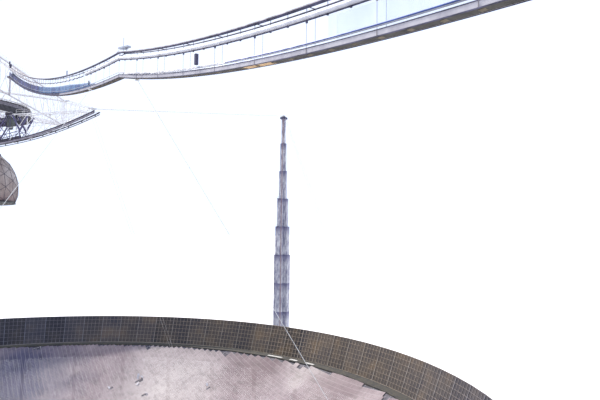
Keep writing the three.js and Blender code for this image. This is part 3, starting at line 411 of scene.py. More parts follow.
class Look:
    """A material with a few shorthand calls for its nodes."""

    def __init__(self, name, metallic=0.0, roughness=0.6):
        self.material = bpy.data.materials.new(name)
        self.material.use_nodes = True
        self.nodes = self.material.node_tree.nodes
        self.links = self.material.node_tree.links
        self.shader = self.nodes["Principled BSDF"]
        self.shader.inputs["Metallic"].default_value = metallic
        self.shader.inputs["Roughness"].default_value = roughness
        self.place = self.nodes.new("ShaderNodeTexCoord").outputs["Object"]

    def metres(self, x=1.0, y=1.0, z=1.0):
        """Object coordinates in real metres, stretched on each axis."""
        mapping = self.nodes.new("ShaderNodeMapping")
        mapping.inputs["Scale"].default_value = (x / SCALE, y / SCALE, z / SCALE)
        self.links.new(self.place, mapping.inputs["Vector"])
        return mapping.outputs["Vector"]

    def axes(self):
        """X, Y and Z in real metres."""
        node = self.nodes.new("ShaderNodeSeparateXYZ")
        self.links.new(self.metres(), node.inputs[0])
        return node.outputs

    def noise(self, scale, detail=4.0, roughness=0.55, stretch=(1.0, 1.0, 1.0)):
        node = self.nodes.new("ShaderNodeTexNoise")
        node.inputs["Scale"].default_value = scale
        node.inputs["Detail"].default_value = detail
        node.inputs["Roughness"].default_value = roughness
        self.links.new(self.metres(*stretch), node.inputs["Vector"])
        return node.outputs["Fac"]

    def math(self, operation, a, b=0.0):
        node = self.nodes.new("ShaderNodeMath")
        node.operation = operation
        for socket, value in zip(node.inputs, (a, b)):
            if isinstance(value, (int, float)):
                socket.default_value = value
            else:
                self.links.new(value, socket)
        return node.outputs[0]

    def plus(self, a, b):
        return self.math("ADD", a, b)

    def minus(self, a, b):
        return self.math("SUBTRACT", a, b)

    def times(self, a, b):
        return self.math("MULTIPLY", a, b)

    def over(self, a, b):
        return self.math("DIVIDE", a, b)

    def ramp(self, factor, stops):
        """Colours or greys at positions from 0 to 1."""
        node = self.nodes.new("ShaderNodeValToRGB")
        elements = node.color_ramp.elements
        while len(elements) < len(stops):
            elements.new(0.5)
        for element, (position, colour) in zip(elements, stops):
            element.position = position
            element.color = (*colour, 1.0) if isinstance(colour, tuple) else (colour, colour, colour, 1.0)
        self.links.new(factor, node.inputs["Fac"])
        return node.outputs["Color"]

    def mix(self, factor, a, b, blend="MIX"):
        node = self.nodes.new("ShaderNodeMix")
        node.data_type = "RGBA"
        node.blend_type = blend
        for name, value in (("Factor", factor), ("A", a), ("B", b)):
            socket = next(s for s in node.inputs if s.name == name and s.enabled)
            if isinstance(value, tuple):
                socket.default_value = (*value, 1.0)
            elif isinstance(value, (int, float)):
                socket.default_value = value
            else:
                self.links.new(value, socket)
        return next(s for s in node.outputs if s.enabled)

    def tinted(self, a, b):
        """One colour multiplied by another."""
        return self.mix(1.0, a, b, "MULTIPLY")

    def soiled(self, colour, dirt_colour, scale=0.8):
        """A colour with soft dirt that also roughens the surface, and the dirt itself."""
        dirt = self.noise(scale, detail=5.0, roughness=0.65)
        self.bump(dirt, 0.2, 0.02)
        return self.ramp(dirt, [(0.32, dirt_colour), (0.6, colour)]), dirt

    def colour(self, value):
        self.links.new(value, self.shader.inputs["Base Color"])

    def rough(self, value):
        self.links.new(value, self.shader.inputs["Roughness"])

    def bump(self, height, strength, distance):
        node = self.nodes.new("ShaderNodeBump")
        node.inputs["Strength"].default_value = strength
        node.inputs["Distance"].default_value = distance * SCALE
        self.links.new(height, node.inputs["Height"])
        self.links.new(node.outputs["Normal"], self.shader.inputs["Normal"])


def add_patches_and_painted_light(look, x, y, ragged, base, shade, share=1.0):
    """Mixes the dish's patches into a base colour, their tints multiplied by the shade argument; the first
    patch is a painted shadow and the second a painted highlight.
    """
    for centre_x, centre_y, radius, strength, tint in SHEET_PATCHES_AND_PAINTED_LIGHT:
        across, along = look.minus(x, centre_x), look.minus(y, centre_y)
        squares = look.plus(look.times(across, across), look.times(along, along))
        away = look.over(look.plus(look.math("SQRT", squares), ragged), radius)
        cover = look.times(look.ramp(away, [(0.3, 1.0), (1.0, 0.0)]), strength * share)
        base = look.mix(cover, base, look.tinted(tint, shade))
    return base


def batten_strip():
    """Pale strip metal between the panels, with the sheet's patches mixed in at a lower share, a painted
    shadow and a painted highlight among them.
    """
    look = Look("batten_strip", roughness=0.7)
    x, y, _ = look.axes()
    base, _ = look.soiled((0.4, 0.365, 0.36), (0.25, 0.22, 0.23))
    look.colour(add_patches_and_painted_light(look, x, y, 0.0, base, (1.0, 1.0, 1.0), BATTEN_PATCH_SHARE))
    return look.material


def panel_sheet():
    """Pale metal sheet with brown and mauve stains, a tone for each panel, broad patches with a painted
    shadow and a painted highlight among them, and pale seams.
    """
    look = Look("panel_sheet", roughness=0.7)
    x, y, _ = look.axes()
    column, row = look.over(x, PANEL_WIDTH), look.over(y, PANEL_LENGTH)
    cell = look.nodes.new("ShaderNodeCombineXYZ")
    look.links.new(look.math("FLOOR", column), cell.inputs[0])
    look.links.new(look.math("FLOOR", row), cell.inputs[1])
    grain = look.nodes.new("ShaderNodeTexWhiteNoise")
    look.links.new(cell.outputs[0], grain.inputs["Vector"])
    tone = look.ramp(grain.outputs["Value"], [(0.0, 0.84), (0.5, 0.95), (1.0, 1.0)])
    broad = look.noise(0.022, detail=6.0, roughness=0.62)
    base = look.ramp(broad, [
        (0.34, (0.16, 0.115, 0.135)),
        (0.46, (0.24, 0.185, 0.2)),
        (0.56, (0.3, 0.245, 0.255)),
        (0.7, (0.38, 0.335, 0.325)),
    ])
    fine = look.noise(0.35, detail=5.0, roughness=0.7, stretch=(1.0, 0.35, 1.0))
    streaks = look.ramp(fine, [(0.36, 0.72), (0.5, 0.94), (0.66, 1.0)])
    stained = look.tinted(look.tinted(base, tone), streaks)
    ragged = look.times(look.minus(broad, 0.5), PATCH_RAGGEDNESS)
    # Broad patches: the first is a painted shadow, the second a painted highlight
    stained = add_patches_and_painted_light(look, x, y, ragged, stained, look.tinted(tone, streaks))
    off_centre = look.math("ABSOLUTE", look.minus(look.math("FRACT", column), 0.5))
    seam = look.math("GREATER_THAN", off_centre, 0.455)
    look.colour(look.mix(look.times(seam, 0.3), stained, (0.46, 0.42, 0.42)))
    look.rough(look.ramp(broad, [(0.35, 0.85), (0.6, 0.7)]))
    look.bump(fine, 0.3, 0.1)
    return look.material


def plain_metal(name, colour, dirt_colour, roughness, metallic, scale=0.8):
    """Painted or galvanised metal with soft dirt."""
    look = Look(name, metallic, roughness)
    base, dirt = look.soiled(colour, dirt_colour, scale)
    look.colour(base)
    look.rough(look.ramp(dirt, [(0.3, min(roughness + 0.2, 1.0)), (0.7, roughness)]))
    return look.material


def stained_concrete(name, pale, mid, dark, under_ledges=False):
    """Concrete with lift lines, vertical streaks of dark growth and a rough surface."""
    look = Look(name, roughness=0.9)
    z = look.axes()[2]
    streaks = look.noise(1.0, detail=6.0, roughness=0.75, stretch=(0.9, 0.9, 0.22))
    cloud = look.noise(0.22, detail=6.0, roughness=0.65)
    base = look.ramp(cloud, [(0.3, mid), (0.62, pale)])
    growth = look.ramp(streaks, [(0.42, 1.0), (0.56, 0.0)])
    stained = look.mix(look.times(growth, 0.7), base, dark)
    if under_ledges:
        ledge = VERTEX_HEIGHT + TOWER_TOP_Z - CAP_HEIGHT - TOWER_FIRST_STEP
        below = look.math("FRACT", look.over(look.minus(ledge, z), TOWER_STEP))
        ragged = look.minus(below, look.times(look.minus(streaks, 0.5), 0.5))
        stained = look.mix(look.ramp(ragged, [(0.02, 0.85), (0.1, 0.5), (0.28, 0.0)]), stained, dark)
    line = look.math("LESS_THAN", look.math("FRACT", look.over(z, LIFT_HEIGHT)), 0.07)
    look.colour(look.mix(look.times(line, 0.2), stained, dark))
    look.bump(look.noise(2.5, detail=6.0), 0.5, 0.05)
    return look.material


def painted_light_by_side(look, angle):
    """A painted light and shade tint of the fence by direction: lit and warm towards +X, shaded and bluish
    away from it.
    """
    towards = look.math("COSINE", look.minus(angle, 0.3))
    share = look.plus(look.times(towards, 0.5), 0.5)
    return look.ramp(share, [(0.4, (0.31, 0.38, 0.57)), (0.8, (0.41, 0.47, 0.66)), (1.0, (0.93, 0.88, 0.76))])


def screen_wire(name, colour, dirt_colour):
    """Wires and posts of the fence, with soft dirt and the same painted light and shade by direction as its
    netting.
    """
    look = Look(name, roughness=0.65)
    x, y, _ = look.axes()
    base, _ = look.soiled(colour, dirt_colour, 0.6)
    look.colour(look.tinted(base, painted_light_by_side(look, look.math("ARCTAN2", y, x))))
    return look.material


def screen_mesh():
    """Dark wire netting seen from far off, a tone for each bay and a painted light and shade tint by
    direction.
    """
    look = Look("screen_mesh", metallic=0.2, roughness=0.75)
    x, y, _ = look.axes()
    angle = look.math("ARCTAN2", y, x)
    grain = look.nodes.new("ShaderNodeTexWhiteNoise")
    grain.noise_dimensions = "1D"
    bay = look.math("FLOOR", look.times(angle, SCREEN_BAYS / (2 * math.pi)))
    look.links.new(bay, grain.inputs["W"])
    base = look.ramp(look.noise(0.09, detail=5.0, roughness=0.6), [
        (0.36, (0.05, 0.046, 0.055)),
        (0.52, (0.095, 0.08, 0.072)),
        (0.68, (0.17, 0.125, 0.085)),
    ])
    tone = look.ramp(grain.outputs["Value"], [(0.0, 0.75), (1.0, 1.25)])
    look.colour(look.tinted(look.tinted(base, tone), painted_light_by_side(look, angle)))
    look.bump(look.noise(3.0), 0.3, 0.05)
    return look.material


def dome_sheet():
    """Brown-grey panels of the dome, darker low down and nearly black at the lower edge."""
    look = Look("dome_sheet", metallic=0.3, roughness=0.55)
    cloud = look.noise(0.16, detail=5.0, roughness=0.6)
    base = look.ramp(cloud, [
        (0.32, (0.2, 0.15, 0.135)),
        (0.5, (0.31, 0.255, 0.235)),
        (0.68, (0.4, 0.35, 0.33)),
    ])
    streaks = look.noise(1.0, detail=4.0, roughness=0.7, stretch=(1.2, 1.2, 0.15))
    stained = look.tinted(base, look.ramp(streaks, [(0.35, 0.75), (0.6, 1.0)]))
    above_edge = look.minus(look.axes()[2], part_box("dome_shell")[0][2] / SCALE)
    share = look.over(look.plus(above_edge, look.times(cloud, 1.5)), DOME_STAIN_HEIGHT)
    clean = look.ramp(share, [(0.3, 0.0), (1.0, 1.0)])
    soiled = look.mix(clean, look.tinted(stained, (0.45, 0.34, 0.38)), stained)
    look.colour(look.mix(look.math("LESS_THAN", above_edge, DOME_EDGE_BAND), soiled, (0.03, 0.025, 0.03)))
    look.bump(streaks, 0.2, 0.05)
    return look.material


def netting(name, dark, pale, cover):
    """Fine netting that covers a share of what is behind it."""
    look = Look(name, roughness=0.8)
    cloud = look.noise(0.5, detail=5.0, roughness=0.7, stretch=(1.0, 1.0, 0.3))
    look.colour(look.ramp(cloud, [(0.4, dark), (0.6, pale)]))
    look.shader.inputs["Alpha"].default_value = cover
    return look.material


def pale_floor():
    look = Look("pale_floor", roughness=0.9)
    cloud = look.noise(0.01, detail=3.0)
    look.colour(look.ramp(cloud, [(0.3, 0.8), (0.7, 0.84)]))
    return look.material


def make_camera():
    roll = math.radians(CAMERA_ROLL)
    forward = direction(90 - CAMERA_YAW, CAMERA_PITCH)
    level = direction(-CAMERA_YAW, 0)
    upright = level.cross(forward)
    right = math.cos(roll) * level + math.sin(roll) * upright
    up = -math.sin(roll) * level + math.cos(roll) * upright
    data = bpy.data.cameras.new("camera")
    data.lens = CAMERA_LENS
    data.sensor_width = 36.0
    data.clip_start = 0.01
    data.clip_end = 2000.0
    camera = add_object("camera", data)
    camera.matrix_world = Matrix((right, up, -forward)).transposed().to_4x4()
    camera.location = to_model(CAMERA_PLACE)
    bpy.context.scene.camera = camera


def make_light():
    """A soft, warm sun high over the far rim, and a cool white sky."""
    towards = direction(SUN_AZIMUTH, SUN_ELEVATION)
    data = bpy.data.lights.new("sun", "SUN")
    data.energy = SUN_STRENGTH
    data.angle = math.radians(SUN_SPREAD)
    data.color = (1.0, 0.9, 0.8)
    sun = add_object("sun", data)
    sun.rotation_euler = towards.to_track_quat("Z", "Y").to_euler()
    sun.location = towards * 60
    world = bpy.data.worlds.new("sky")
    world.use_nodes = True
    background = world.node_tree.nodes["Background"]
    background.inputs["Color"].default_value = (0.74, 0.82, 1.0, 1.0)
    background.inputs["Strength"].default_value = SKY_STRENGTH
    bpy.context.scene.world = world
    bpy.context.scene.view_settings.view_transform = "Standard"


def make_floor():
    mesh = bpy.data.meshes.new("floor")
    mesh.from_pydata([(x * FLOOR_HALF, y * FLOOR_HALF, 0) for x, y in CORNERS], [], [(0, 1, 2, 3)])
    mesh.materials.append(LOOKS["pale_floor"])
    floor = add_object("floor", mesh)


def in_notch(x, y):
    """Whether a point at the dish's edge lies in one of its V-shaped notches."""
    angle = math.degrees(math.atan2(y, x))
    for notch in NOTCH_ANGLES:
        away = (angle - notch + 180.0) % 360.0 - 180.0
        across = abs(math.radians(away)) * DISH_RADIUS
        if across < NOTCH_HALF_WIDTH:
            return math.hypot(x, y) > DISH_RADIUS - NOTCH_DEPTH * (1 - across / NOTCH_HALF_WIDTH)
    return False


def make_dish():
    """Sheet panels in straight columns, cut off square at the edge like saw teeth."""
    rng = random.Random(7)
    shapes = {}
    holes = [around(TIE_HOLE_PLACE, angle, 0) for angle in SIDE_ANGLES.values()]
    half_width, half_length = (PANEL_WIDTH - PANEL_GAP) / 2, (PANEL_LENGTH - PANEL_GAP) / 2
    reach_x, reach_y = int(DISH_RADIUS / PANEL_WIDTH) + 1, int(DISH_RADIUS / PANEL_LENGTH) + 1
    for i, j in product(range(-reach_x, reach_x), range(-reach_y, reach_y)):
        x, y = (i + 0.5) * PANEL_WIDTH, (j + 0.5) * PANEL_LENGTH
        if math.hypot(abs(x) + PANEL_WIDTH / 2, abs(y) + PANEL_LENGTH / 2) > DISH_RADIUS:
            continue
        if in_notch(x, y) or any(math.hypot(x - h[0], y - h[1]) < TIE_HOLE_RADIUS for h in holes):
            continue
        tilt_x, tilt_y = rng.uniform(-1, 1) * PANEL_TILT, rng.uniform(-1, 1) * PANEL_TILT
        corners = []
        for dx, dy in CORNERS:
            cx, cy = x + dx * half_width, y + dy * half_length
            corners.append((cx, cy, dish_z(cx, cy) + dx * half_width * tilt_x + dy * half_length * tilt_y))
        sector = int((math.degrees(math.atan2(y, x)) % 360) // 60)
        shapes.setdefault(sector, Shape("panel_sheet")).add(corners, [(0, 1, 2, 3)])
    for sector, shape in sorted(shapes.items()):
        piece = shape.piece(f"dish_panels_{sector + 1}", "structure", "panels")
        nodes = [f"reflector_inner_{sector + 1}", f"reflector_outer_{sector + 1}"]
        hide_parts(*(nodes + ["reflector_centre"] if sector == 0 else nodes))


def make_dish_battens():
    """Pale strips under the seams between the panels, in both directions."""
    battens = Shape("batten_strip")
    for axis, spacing in enumerate((PANEL_WIDTH, PANEL_LENGTH)):
        count = int(DISH_RADIUS / spacing)
        half = SEAM_WIDTHS[axis] / 2
        for i in range(1 - count, count):
            across = i * spacing
            reach = math.sqrt(DISH_RADIUS**2 - across**2) - 2.0
            stations = np.linspace(-reach, reach, max(int(2 * reach / SEAM_STEP), 1) + 1)
            for ends in zip(stations, stations[1:]):
                if any(in_notch(*crossed(axis, across, along)) for along in ends):
                    continue
                corners = []
                for along, side in product(ends, (-half, half)):
                    x, y = crossed(axis, across + side, along)
                    corners.append((x, y, dish_z(x, y) - SEAM_DEPTH - 0.01 * axis))
                battens.add(corners, [(0, 1, 3, 2)])
    battens.piece("dish_battens", "structure", "panels")


def make_loose_panels():
    """Panels that lie askew on the dish, and dark sheets laid on it as painted shade where panels are
    missing.
    """
    loose = Shape("pale_boards")
    for x, y, degrees, rise in LOOSE_PANELS:
        dx, dy, _ = around(0.4 * PANEL_WIDTH, degrees, 0)
        low, high = dish_z(x - dx, y - dy) + LOOSE_LIFT, dish_z(x + dx, y + dy) + LOOSE_LIFT + rise
        loose.bar((x - dx, y - dy, low), (x + dx, y + dy, high), PANEL_LENGTH, 0.03)
    # Dark sheets over the panels, painted shade of the holes
    for x, y, count in PAINTED_HOLE_SHADES:
        for k in range(count):
            corners = []
            for across, along in CORNERS:
                cx, cy = x + k * PANEL_WIDTH + across, y + along / 2
                corners.append((cx, cy, dish_z(cx, cy) + 0.05))
            loose.add(corners, [(0, 1, 2, 3)], "girder_steel")
    loose.piece("dish_loose_panels", "structure", "panels")


def make_painted_edge_shade():
    """A dark sheet under the panels' saw-toothed edge, painted shade that shows through the notches."""
    shade_underlay = Shape("girder_steel")
    inner, outer = SHADE_UNDERLAY_RADIUS, DISH_RADIUS - 0.2
    for degrees in range(360):
        corners = []
        for radius, turn in ((inner, 0), (outer, 0), (outer, 1), (inner, 1)):
            x, y, _ = around(radius, degrees + turn, 0)
            corners.append((x, y, dish_z(x, y) - SHADE_UNDERLAY_DEPTH))
        shade_underlay.add(corners, [(0, 1, 2, 3)])
    shade_underlay.piece("dish_edge_painted_shade", "structure", "panels")


def make_rim_slabs():
    """Loose pale slabs that lie on the rim beam, in two rows."""
    slabs = Shape("pale_slab")
    for start, end in RIM_SLABS:
        for radius, lift in ((153.6, 0.06), (154.3, 0.1)):
            slabs.bar(around(radius, start, RIM_Z + lift), around(radius, end, RIM_Z + lift), 0.6, 0.1)
    slabs.piece("rim_slabs", "structure", "concrete")


def make_dish_net():
    """Cables under the dish in both directions, with ties down to blocks on the ground."""
    net = Shape("cable_steel")
    count = int(DISH_RADIUS / NET_SPACING)
    for i in range(-count, count + 1):
        across = i * NET_SPACING
        reach = math.sqrt(max((DISH_RADIUS - 0.5) ** 2 - across**2, 0))
        for axis in (0, 1):
            line = [crossed(axis, across, along) for along in np.linspace(-reach, reach, NET_STEPS)]
            net.tube([(x, y, dish_z(x, y) - NET_DEPTH - 0.1 * axis) for x, y in line], NET_RADIUS, 4)
    net.piece("dish_cable_net", "structure", "cable")
    ties = Shape("cable_steel")
    for i, j in product(range(-TIE_ROWS, TIE_ROWS + 1), repeat=2):
        x, y = i * TIE_SPACING, j * TIE_SPACING
        if math.hypot(x, y) > DISH_RADIUS - 8 or i == j == 0:
            continue
        ties.tube([(x, y, 0.6 - VERTEX_HEIGHT), (x, y, dish_z(x, y) - NET_DEPTH)], NET_RADIUS, 4)
        ties.block((x - 1, y - 1, -VERTEX_HEIGHT), (x + 1, y + 1, 0.9 - VERTEX_HEIGHT), "rim_concrete_painted_shade")
    ties.piece("dish_ties", "structure", "cable")


def screen_point(bay, share, offset=0.0):
    """A point of the ground screen's face, share of its height up, offset outwards."""
    step = math.floor(bay)
    radius = SCREEN_FOOT_RADIUS + (SCREEN_TOP_RADIUS - SCREEN_FOOT_RADIUS) * share + offset
    z = RIM_Z + (SCREEN_TOP_Z - RIM_Z) * share
    start, end = (Vector(around(radius, s * 360 / SCREEN_BAYS, z)) for s in (step, step + 1))
    return start.lerp(end, bay - step)


def make_screen():
    """Three sectors of netting with wires, posts and props."""
    for sector in range(3):
        sheet, frame = Shape("screen_mesh"), Shape("screen_wire")
        for bay in range(sector * SCREEN_BAYS // 3, (sector + 1) * SCREEN_BAYS // 3):
            end = bay + 0.9999
            corners = [screen_point(b, s, 0.1) for s in (0.01, 1.0) for b in (bay, end)]
            sheet.add(corners, [(0, 1, 3, 2)])
            for row in range(SCREEN_ROWS + 1):
                share = 0.015 + 0.98 * row / SCREEN_ROWS
                depth = 0.221 if row in (0, SCREEN_ROWS) else 0.136
                frame.bar(screen_point(bay, share), screen_point(end, share), 0.1, depth)
            for column in range(1, SCREEN_COLUMNS):
                place = bay + column / SCREEN_COLUMNS
                frame.bar(screen_point(place, 0.01), screen_point(place, 0.995), 0.14, 0.1)
            frame.bar(screen_point(bay, 0.01), screen_point(bay, 1.0), 0.26, look="screen_posts")
            prop_foot = around(PROP_RADIUS, bay * 360 / SCREEN_BAYS, RIM_Z)
            frame.bar(prop_foot, screen_point(bay, 0.48, 0.25), 0.2, look="screen_posts")
        piece = sheet.piece(f"screen_netting_{sector + 1}", "structure", "mesh")
        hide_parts(f"ground_screen_{sector + 1}")
        frame.piece(f"screen_frame_{sector + 1}", "structure", "mesh")


def catwalk_point(share, across=0.0, height=0.0):
    """A point on the catwalk, from its lower edge at the platform (0) to the tower (1)."""
    (x0, y0), (x1, y1) = CATWALK_START, CATWALK_END
    start, knee, end = CATWALK_HEIGHTS
    if share <= CATWALK_KNEE:
        part = share / CATWALK_KNEE
        z = start + (knee - start) * part - 4 * CATWALK_SAGS[0] * part * (1 - part)
    else:
        part = (share - CATWALK_KNEE) / (1 - CATWALK_KNEE)
        z = knee + (end - knee) * part - 4 * CATWALK_SAGS[1] * part * (1 - part)
    length = math.hypot(x1 - x0, y1 - y0)
    east = Vector(((y0 - y1) / length, (x1 - x0) / length, 0))
    return Vector((x0 + (x1 - x0) * share, y0 + (y1 - y0) * share, z + height)) + east * across


def walk_bar(shape, start, end, width, depth, look):
    """A bar between two places on the catwalk, each a share, a distance across and a height."""
    shape.bar(catwalk_point(*start), catwalk_point(*end), width, depth, look)


def walk_tube(shape, across, height, start, end, radius, sides, look):
    """A tube along the catwalk between two shares."""
    path = [catwalk_point(share, across, height) for share in STATIONS if start <= share <= end]
    shape.tube(path, radius, sides, look)


def make_catwalk_deck():
    """Side boards with trims, a floor with a stretch of plywood, rusty patches and joint covers."""
    deck = Shape("board_underside")
    for first, second in zip(STATIONS, STATIONS[1:]):
        dark = second <= DARK_BOARDS_END
        for side in (-1, 1):
            edge = side * (CATWALK_HALF - 0.03)
            middle = FASCIA_HEIGHT / 2
            board = "navy_steel" if dark else "pale_boards"
            walk_bar(deck, (first, edge, middle), (second, edge, middle), 0.05, FASCIA_HEIGHT, board)
            trim = edge + side * 0.02
            for height in (0.0, FASCIA_HEIGHT):
                walk_bar(deck, (first, trim, height), (second, trim, height), 0.05, 0.06, "navy_steel")
        floor = "plywood" if PLYWOOD[0] < (first + second) / 2 < PLYWOOD[1] else "board_underside"
        floor = "navy_steel" if dark else floor
        walk_bar(deck, (first, 0, 0.05), (second, 0, 0.05), 2 * CATWALK_HALF - 0.1, 0.08, floor)
    for share in HANGERS:
        walk_bar(deck, (share, -0.16, 0.0), (share, 0.16, 0.0), 0.34, 0.03, "rusty_patch")
    for joint, side in product(JOINTS, (-1, 1)):
        edge = side * (CATWALK_HALF + 0.005)
        walk_bar(deck, (joint, edge, 0.02), (joint, edge, FASCIA_HEIGHT), 0.05, 0.02, "dark_steel")
    piece = deck.piece("catwalk_boards", "structure", "catwalk")
    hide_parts("catwalk_deck")


def make_catwalk_rails():
    """Low rails and a top line on each side, with posts and spreaders at the joints."""
    rails = Shape("grey_rail")
    for side in (-1, 1):
        edge = side * CATWALK_HALF
        top_radius = 0.14 if side < 0 else 0.06
        for height, start, end, radius, sides, look in (
            (LOW_RAIL_HEIGHT, 0.0, BLUE_RAIL_START, 0.035, 6, "grey_rail"),
            (LOW_RAIL_HEIGHT, BLUE_RAIL_START, 1.0, 0.05, 6, "blue_rail"),
            # The navy top lines are dark as painted shade
            (TOP_LINE_HEIGHT, 0.0, 1.0, top_radius, 8, "navy_steel"),
            (FASCIA_HEIGHT + 0.2, CATWALK_KNEE, 1.0, 0.05, 4, "grey_rail"),
        ):
            walk_tube(rails, edge, height, start, end, radius, sides, look)
        for joint in JOINTS:
            walk_bar(rails, (joint, edge, 0.1), (joint, edge, TOP_LINE_HEIGHT), 0.025, 0.025, "grey_rail")
    for joint in JOINTS:
        ends = [(joint, side * CATWALK_HALF, TOP_LINE_HEIGHT) for side in (-1, 1)]
        walk_bar(rails, *ends, 0.05, 0.05, "navy_steel")
    piece = rails.piece("catwalk_rails", "structure", "catwalk")
    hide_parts("catwalk_rail_west", "catwalk_rail_east")


def make_catwalk_duct():
    """A duct under the west top line, with hangers and clamps, a dark tube along its underside as painted
    shade, and a wavy hose before it.
    """
    duct = Shape("navy_steel")
    side = 0.02 - CATWALK_HALF
    low = DUCT_HEIGHT - DUCT_RADIUS
    walk_tube(duct, side, DUCT_HEIGHT, DUCT_START, 1.0, DUCT_RADIUS, 12, "duct_sheet")
    # Dark tube under the duct, painted shade of its lower edge
    walk_tube(duct, side, low - 0.03, DUCT_START, 1.0, 0.055, 6, "navy_steel")
    hose = [catwalk_point(s, side, low + 0.08 * math.sin(380 * s)) for s in STATIONS if s <= DUCT_START]
    duct.tube(hose, 0.08)
    for i, share in enumerate(HANGERS):
        walk_bar(duct, (share, side, low), (share, side, TOP_LINE_HEIGHT), 0.03, 0.03, "navy_steel")
        if share >= DUCT_START:
            drop = 0.13 if i % 3 else 0.22
            walk_bar(duct, (share, side, low - drop), (share, side, low), 0.12, 0.12, "navy_steel")
    duct.piece("catwalk_duct", "structure", "catwalk")


def make_catwalk_netting():
    """Netting on both sides: blue near the platform, darkened there as painted shade and darkest nearest it,
    and pale near the tower.
    """
    nets = Shape("netting")
    for (first, second), side in product(zip(STATIONS, STATIONS[1:]), (-1, 1)):
        edge = side * (CATWALK_HALF - 0.04)
        sheets = [(0.7, 2.4, "netting")] if first >= NETTING_START else []
        if second <= BLUE_MESH_END:
            top = min(1.6, 1.6 - 9.0 * (second - 0.4))
            sheets.append((0.2, top, "mesh_painted_deep_shade" if second < DARK_MESH_END else "blue_mesh_painted_shade"))
        for low, high, look in sheets:
            corners = [catwalk_point(s, edge, h) for h in (low, high) for s in (first, second)]
            nets.add(corners, [(0, 1, 3, 2)], look)
    nets.piece("catwalk_netting", "structure", "catwalk")


def make_catwalk_fittings():
    """The spreader over the knee with its legs and mast, and a few boxes and clamps on the lines."""
    fittings = Shape("navy_steel")
    knee = CATWALK_KNEE + 0.002
    walk_bar(fittings, (knee - 0.008, 0, 4.0), (knee + 0.012, 0, 4.0), 0.5, 0.22, "grey_rail")
    walk_bar(fittings, (knee - 0.003, 0, 3.8), (knee + 0.007, 0, 3.8), 0.4, 0.2, "grey_rail")
    walk_bar(fittings, (knee, 0, 4.1), (knee, 0, 5.2), 0.05, 0.05, "grey_rail")
    for along, side in product((-0.015, 0.006), (-1, 1)):
        foot = (knee + along, side * CATWALK_HALF, TOP_LINE_HEIGHT)
        walk_bar(fittings, foot, (knee + along / 2, side * 0.15, 3.7), 0.04, 0.04, "grey_rail")
    for share, low, high, size, look in (
        (BLUE_MESH_END - 0.009, 0.6, 1.25, 0.14, "navy_steel"),
        (0.012, 2.9, 3.9, 0.5, "navy_steel"),
        (0.002, 3.4, 4.5, 0.3, "navy_steel"),
        (0.386, 3.3, 4.1, 0.2, "grey_rail"),
        (0.673, 0.9, 1.9, 0.3, "navy_steel"),
    ):
        walk_bar(fittings, (share, -CATWALK_HALF, low), (share, -CATWALK_HALF, high), size, size, look)
    fittings.piece("catwalk_fittings", "structure", "catwalk")


def add_saddle(shape, side):
    """Half of a tower's saddle, with a low hipped top."""
    half = SADDLE_LENGTH / 2
    base, top = TOWER_TOP_Z + 0.02, TOWER_TOP_Z + SADDLE_HEIGHT
    near, far = TOWER_RADIUS + side * 0.01, TOWER_RADIUS + side * half
    shoulder = TOWER_RADIUS + side * half * 0.4
    edge = TOWER_TOP_Z + SADDLE_HEIGHT * 0.4
    wide, narrow = SADDLE_WIDTH / 2, SADDLE_WIDTH / 5
    outline = ((near, -wide), (far, -wide), (far, wide), (near, wide))
    corners = [(x, y, z) for z in (base, edge) for x, y in outline]
    corners += [(near, -narrow, top), (shoulder, -narrow, top), (shoulder, narrow, top), (near, narrow, top)]
    faces = [(3, 2, 1, 0), (0, 1, 5, 4), (1, 2, 6, 5), (2, 3, 7, 6), (3, 0, 4, 7)]
    faces += [(4, 5, 9, 8), (5, 6, 10, 9), (6, 7, 11, 10), (7, 4, 8, 11), (8, 9, 10, 11)]
    shape.add(corners, faces, "grey_steel")


def make_cables():
    """Main cables and backstays at their real thickness, each with its socket."""
    for name, angle in SIDE_ANGLES.items():
        main = Shape("cable_steel")
        add_saddle(main, -1)
        start = Vector((TOWER_RADIUS - SADDLE_LENGTH / 4, 0, TOWER_TOP_Z + SADDLE_HEIGHT * 0.5))
        end = Vector((OUTRIGGER_RADIUS + 0.55, 0, PLATFORM_TOP - 0.35))
        for across, up in MAIN_CABLE_PLACES:
            first = start + Vector((0, across, up)) * MAIN_CABLE_SPREAD
            last = end + Vector((0, across, up)) * MAIN_CABLE_END_SPREAD
            main.tube([first, last], MAIN_CABLE_SIZE)
            main.tube([last, last + (first - last).normalized() * 2.2], 0.1, look="grey_steel")
        piece = main.turned(angle).piece(f"main_cable_strands_{name}", "structure", "cable")
        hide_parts(f"main_cables_{name}")

        stays = Shape("cable_steel")
        add_saddle(stays, 1)
        start = Vector((TOWER_RADIUS + SADDLE_LENGTH * 0.45, 0, TOWER_TOP_Z + SADDLE_HEIGHT * 0.3))
        end = Vector((ANCHOR_RADIUS - ANCHOR_LENGTH / 2, 0, -VERTEX_HEIGHT + ANCHOR_HEIGHT / 2))
        for i in range(BACKSTAY_COUNT):
            side = i - (BACKSTAY_COUNT - 1) / 2
            first = start + Vector((0, side * BACKSTAY_SPREAD, 0))
            last = end + Vector((0, side * ANCHOR_SPREAD, 0))
            stays.tube([first, last], MAIN_CABLE_SIZE)
            stays.tube([last, last + (first - last).normalized() * 2.5], 0.12, look="grey_steel")
        piece = stays.turned(angle).piece(f"backstay_strands_{name}", "structure", "cable")
        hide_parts(f"backstays_{name}")


